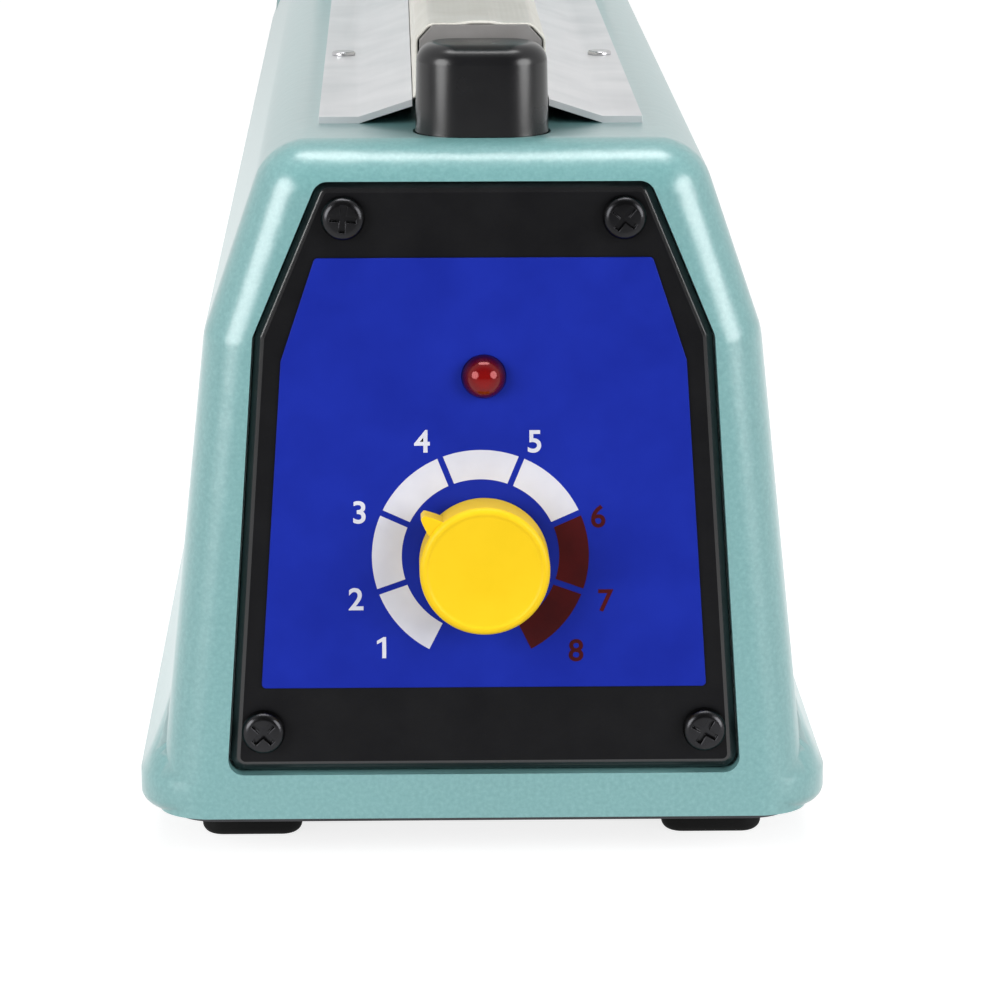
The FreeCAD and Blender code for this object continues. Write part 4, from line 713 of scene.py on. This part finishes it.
# %% Cloth finish
THREAD = 0.0006
BAND_PERIOD = 0.314
cloth_finish = new_finish("coated_cloth", {"Specular IOR Level": 0.35, "Sheen Weight": 0.1})
cloth_map = add_node(cloth_finish, "ShaderNodeUVMap", uv_map="across_and_along").outputs["UV"]


def threads(direction):
    """Bands one thread wide across a direction of the cloth's map, a little uneven."""
    inputs = {"Vector": cloth_map, "Scale": BAND_PERIOD / THREAD, "Distortion": 0.4}
    return add_node(cloth_finish, "ShaderNodeTexWave", inputs, wave_type="BANDS",
                    bands_direction=direction).outputs["Fac"]


weave = add_node(cloth_finish, "ShaderNodeMath", {0: threads("X"), 1: threads("Y")}, operation="MULTIPLY")
cloth_clouds = noise(cloth_finish, cloth_map, 0.012, detail=3.0)
cloth_colours = [(0.3, (0.72, 0.70, 0.63)), (0.7, (0.84, 0.83, 0.77))]
wire(cloth_finish, ramp(cloth_finish, cloth_clouds, cloth_colours), "Base Color")
wire(cloth_finish, grey(cloth_finish, weave.outputs[0], 0.48, 0.38), "Roughness")
wire(cloth_finish, bump(cloth_finish, weave.outputs[0], 0.00005, strength=0.5), "Normal")
print("threads in a centimetre of cloth:", round(0.01 / THREAD, 1))

# %% [markdown]
# The cloth is a sheet: a line across the bar, from hem to hem, carried along it. The line follows the bar's
# sides and chamfers, rises over the wire, and spreads at its hems against the deck plates. Its corners are
# softened by a moving mean, because cloth doesn't fold sharply, and slow ripples keep it from looking ironed.

# %% Cloth over the bar
cloth_low, cloth_high = (np.array(corner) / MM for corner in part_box("ptfe_cloth"))
bar_high = np.array(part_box("sealing_bar")[1]) / MM
LIE = 0.12
WIRE_RISE = 0.25
CLOTH_THICK = 0.3
HEM_FLARE = 0.34
HEM_RISE = 0.7
CLOTH_HEM = cloth_low[2]
CLOTH_SIDE = cloth_high[0]
CLOTH_FLAT = bar_high[2] + LIE
CHAMFER = (1.55, 1.7)
WIRE_FLAT = 1.3
WIRE_FOOT = 2.6
ACROSS_STEPS = 121
ALONG_STEPS = 260
SOFTEN = 3
RIPPLE = 0.05
half_line = [(CLOTH_SIDE + HEM_FLARE, CLOTH_HEM), (CLOTH_SIDE, CLOTH_HEM + HEM_RISE),
             (CLOTH_SIDE, CLOTH_FLAT - CHAMFER[1]), (CLOTH_SIDE - CHAMFER[0], CLOTH_FLAT),
             (WIRE_FOOT, CLOTH_FLAT), (WIRE_FLAT, CLOTH_FLAT + WIRE_RISE)]
corner_line = np.array([(-x, z) for x, z in half_line] + half_line[::-1])
run = np.concatenate([[0.0], np.cumsum(np.hypot(*np.diff(corner_line, axis=0).T))])
across = np.linspace(0.0, run[-1], ACROSS_STEPS)
kernel = np.hanning(2 * SOFTEN + 1)
kernel /= kernel.sum()
section = []
for axis in range(2):
    values = np.interp(across, run, corner_line[:, axis])
    padded = np.concatenate([np.full(SOFTEN, values[0]), values, np.full(SOFTEN, values[-1])])
    section.append(np.convolve(padded, kernel, mode="valid"))
section_x, section_z = section
along = np.linspace(cloth_low[1], cloth_high[1], ALONG_STEPS)
ripple = RIPPLE * np.sin(along[:, None] * 0.31 + across[None, :] * 0.5) * np.sin(along[:, None] * 0.13)
cloth_points = np.stack([np.broadcast_to(section_x, ripple.shape) * (1 + ripple * 0.01),
                         np.broadcast_to(along[:, None], ripple.shape),
                         np.broadcast_to(section_z, ripple.shape) + ripple], axis=-1)


def add_map(mesh, values):
    """Map that gives each corner of a mesh the pair of numbers of its vertex."""
    corners = np.empty(len(mesh.loops), np.int32)
    mesh.loops.foreach_get("vertex_index", corners)
    layer = mesh.uv_layers.new(name="across_and_along")
    layer.data.foreach_set("uv", values[corners].astype(np.float32).reshape(-1))


cloth_faces = grid_faces(ALONG_STEPS, ACROSS_STEPS)[:, ::-1]
cloth_mesh = bpy.data.meshes.new("ptfe_cloth_surface")
cloth_mesh.from_pydata((cloth_points * MM).reshape(-1, 3).tolist(), [], cloth_faces.tolist())
shade(cloth_mesh)
cloth_places = np.stack(np.broadcast_arrays(across[None, :], along[:, None]), axis=-1).reshape(-1, 2) * MM
add_map(cloth_mesh, cloth_places)
cloth = add_piece("ptfe_cloth_dressed", cloth_mesh, cloth_finish, "base")
cloth_thickness = cloth.modifiers.new("cloth_thickness", "SOLIDIFY")
cloth_thickness.thickness = CLOTH_THICK * MM
cloth_thickness.offset = -1.0
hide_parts("ptfe_cloth")
print("cloth's width from hem to hem in mm:", round(run[-1], 1))

# %% [markdown]
# Both springs are round wire on a helix. In the sealer the lift spring turns with the arm at one end only,
# and the button's spring is squashed as the button goes down; here each keeps one shape. A tube is a circle
# carried along a line: at each point of the line, the circle lies across the tangent, on the direction away
# from the helix's axis and the one at right angles to both.

# %% Springs
def helix_line(radius, pitch, turns, start, legs, count):
    """Helix about Z, with straight legs along its first and last directions, and the outward directions."""
    turn = np.linspace(0.0, 2 * math.pi * turns, count)
    outward = np.stack([np.cos(start + turn), np.sin(start + turn), np.zeros(count)], axis=-1)
    line = outward * radius
    line[:, 2] = pitch * turn / (2 * math.pi)
    heading = np.stack([-np.sin(start + turn), np.cos(start + turn),
                        np.full(count, pitch / (2 * math.pi * radius))], axis=-1)
    heading /= np.linalg.norm(heading, axis=1)[:, None]
    if legs:
        reach = np.linspace(1.0, 0.0, 8, endpoint=False)[:, None]
        line = np.vstack([line[:1] - heading[:1] * reach * legs[0], line,
                          line[-1:] + heading[-1:] * reach[::-1] * legs[1]])
        outward = np.vstack([np.repeat(outward[:1], 8, axis=0), outward, np.repeat(outward[-1:], 8, axis=0)])
    return line, outward


def tube(line, outward, wire_radius, sides=14):
    """Closed tube round a line: rings of points, with the first and last ring drawn in to their middles."""
    tangent = np.gradient(line, axis=0)
    tangent /= np.linalg.norm(tangent, axis=1)[:, None]
    across_wire = np.cross(tangent, outward)
    turn = np.linspace(0.0, 2 * math.pi, sides, endpoint=False)
    rings = (line[:, None] + wire_radius * (np.cos(turn)[None, :, None] * outward[:, None]
                                            + np.sin(turn)[None, :, None] * across_wire[:, None]))
    first = np.repeat(line[:1, None], sides, axis=1)
    last = np.repeat(line[-1:, None], sides, axis=1)
    return np.concatenate([first, rings, last])


HINGE = np.array((0.0, 145.5, 96.4))
LIFT_RADIUS = 6.2
LIFT_WIRE_RADIUS = 0.75
LIFT_START = 17.0
LIFT_END = 145.2
LIFT_TURNS = 3 + (LIFT_END - LIFT_START) / 360.0
LIFT_PITCH = 2.1
LIFT_LEGS = (12.0, 22.0)
lift_line, lift_outward = helix_line(LIFT_RADIUS, LIFT_PITCH, LIFT_TURNS, math.radians(LIFT_START), LIFT_LEGS,
                                     300)
lift_points = tube(lift_line, lift_outward, LIFT_WIRE_RADIUS)
lift_points[..., 2] -= LIFT_PITCH * LIFT_TURNS / 2
lift_points = np.stack([lift_points[..., 2], lift_points[..., 1], -lift_points[..., 0]], axis=-1) + HINGE
lift_mesh = grid_mesh("lift_spring_surface", lift_points * MM, close_columns=True)
lift_mesh.materials.append(zinc)
lift_spring = bpy.data.objects.new("lift_spring_dressed", lift_mesh)
bpy.context.scene.collection.objects.link(lift_spring)
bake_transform(lift_spring)
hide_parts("lift_spring")

COIL_RADIUS = 3.3
COIL_WIRE_RADIUS = 0.3
COIL_BASE = 70.3
COIL_TOP = 77.7
COIL_TURNS = 4
COIL_PITCH = (COIL_TOP - COIL_BASE) / COIL_TURNS
coil_line, coil_outward = helix_line(COIL_RADIUS, COIL_PITCH, COIL_TURNS, 0.0, None, 220)
coil_points = tube(coil_line, coil_outward, COIL_WIRE_RADIUS) + np.array((0.0, BUTTON_Y, COIL_BASE))
coil_mesh = grid_mesh("button_spring_surface", coil_points * MM, close_columns=True)
button_spring = add_piece("button_spring_dressed", coil_mesh, zinc, "base")
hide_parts("button_spring")
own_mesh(button_spring)
print("springs' faces:", len(lift_mesh.polygons), len(coil_mesh.polygons))

# %% [markdown]
# The stage is a pale floor. It has to look white and still show the object's shadow, so it is a grey floor
# that glows for the camera, a little less near the object, which is painted shade round it. Gloss sees that
# glow too, but only on the floor beside and behind the object: on the camera's side the floor stays grey,
# which keeps black parts black.

# %% Floor
FLOOR_HALF = 6.0
floor_corners = [(-FLOOR_HALF, -FLOOR_HALF, 0), (FLOOR_HALF, -FLOOR_HALF, 0), (FLOOR_HALF, FLOOR_HALF, 0),
                 (-FLOOR_HALF, FLOOR_HALF, 0)]
floor_mesh = bpy.data.meshes.new("floor")
floor_mesh.from_pydata(floor_corners, [], [(0, 1, 2, 3)])
floor_finish = new_finish("pale_floor", {"Base Color": (0.45, 0.45, 0.45, 1.0), "Roughness": 0.9,
                                         "Specular IOR Level": 0.0, "Emission Color": (1.0, 1.0, 1.0, 1.0)})
rays = add_node(floor_finish, "ShaderNodeLightPath").outputs
floor_point = object_place(floor_finish)
floor_y = add_node(floor_finish, "ShaderNodeSeparateXYZ", {"Vector": floor_point}).outputs["Y"]
distance = add_node(floor_finish, "ShaderNodeVectorMath", {0: floor_point},
                    operation="LENGTH").outputs["Value"]
# The glow is dimmer near the object: painted shade on the floor round it.
glow_with_painted_shade = add_node(floor_finish, "ShaderNodeMapRange", {"Value": distance, "From Min": 0.5, "From Max": 2.0,
                                                     "To Min": 0.80, "To Max": 0.96}).outputs["Result"]
behind = add_node(floor_finish, "ShaderNodeMapRange", {"Value": floor_y, "From Min": -0.5,
                                                       "From Max": 2.0}).outputs["Result"]
mirrored_floor = ramp(floor_finish, behind, [(0.0, (0.0, 0.0, 0.0)), (0.2, (1.0, 1.0, 1.0)),
                                             (0.4, (1.0, 1.0, 1.0)), (0.7, (0.70, 0.70, 0.70))])
gloss = add_node(floor_finish, "ShaderNodeMath", {0: rays["Is Glossy Ray"], 1: mirrored_floor},
                 operation="MULTIPLY").outputs[0]
seen = add_node(floor_finish, "ShaderNodeMath", {0: rays["Is Camera Ray"], 1: gloss},
                operation="MAXIMUM").outputs[0]
white = add_node(floor_finish, "ShaderNodeMath", {0: seen, 1: glow_with_painted_shade}, operation="MULTIPLY").outputs[0]
wire(floor_finish, white, "Emission Strength")
floor_mesh.materials.append(floor_finish)
floor = bpy.data.objects.new("floor", floor_mesh)
bpy.context.scene.collection.objects.link(floor)
print("floor's side in metres:", 2 * FLOOR_HALF)

# %% [markdown]
# The world is white for the camera. Reflections see a softer white behind the object and a dim room on the
# camera's side, and the light that it sheds on the paint is lower still, so that the lamps give the shape.

# %% World
SHED_LIGHT = 0.26
REFLECTED = 0.82
REFLECTED_FRONT = 0.16
world = bpy.data.worlds.new("studio")
bpy.context.scene.world = world
world.use_nodes = True
paths = add_node(world, "ShaderNodeLightPath").outputs
heading = add_node(world, "ShaderNodeTexCoord").outputs["Generated"]
heading_y = add_node(world, "ShaderNodeSeparateXYZ", {"Vector": heading}).outputs["Y"]
room = add_node(world, "ShaderNodeMapRange", {"Value": heading_y, "From Min": -0.75, "From Max": -0.15,
                                              "To Min": REFLECTED_FRONT, "To Max": REFLECTED},
                interpolation_type="SMOOTHSTEP").outputs["Result"]
mirrored = add_node(world, "ShaderNodeMath", {0: paths["Is Glossy Ray"], 1: paths["Is Transmission Ray"]},
                    operation="MAXIMUM").outputs[0]
reflection = add_node(world, "ShaderNodeMapRange", {"Value": mirrored, "To Min": SHED_LIGHT,
                                                    "To Max": room}).outputs["Result"]
level = add_node(world, "ShaderNodeMath", {0: reflection, 1: paths["Is Camera Ray"]},
                 operation="MAXIMUM").outputs[0]
sky = world.node_tree.nodes["Background"]
sky.inputs["Color"].default_value = (1.0, 1.0, 1.0, 1.0)
world.node_tree.links.new(level, sky.inputs["Strength"])
print("world's light on the paint:", SHED_LIGHT)

# %% [markdown]
# Three soft lamps light the sealer: one overhead, and one low on each side of the camera. The low ones draw
# the long highlights on the rounded rim of the body and on the button. They are round, so that the highlights
# have no square ends.

# %% Lamps
AIM = (0.0, -0.16, 0.08)
AIM_BELOW = (0.0, -0.16, 0.05)


def soft_lamp(name, place, target, width, height, watts):
    """Round soft lamp at a place that shines towards a target."""
    light = bpy.data.lights.new(name, "AREA")
    light.shape = "ELLIPSE"
    light.size = width
    light.size_y = height
    light.energy = watts
    lamp_object = bpy.data.objects.new(name, light)
    lamp_object.location = place
    lamp_object.rotation_mode = "QUATERNION"
    lamp_object.rotation_quaternion = (Vector(target) - Vector(place)).to_track_quat("-Z", "Y")
    bpy.context.scene.collection.objects.link(lamp_object)


soft_lamp("overhead", (0.0, -0.20, 1.15), AIM_BELOW, 0.9, 0.45, 6.5)
soft_lamp("left_front", (-0.73, -0.76, 0.29), AIM, 0.65, 0.63, 6.8)
soft_lamp("right_front", (0.76, -0.72, 0.29), AIM, 0.65, 0.63, 6.4)
print("lamps:", len(bpy.data.lights))

bpy.context.scene.view_settings.view_transform = "Standard"
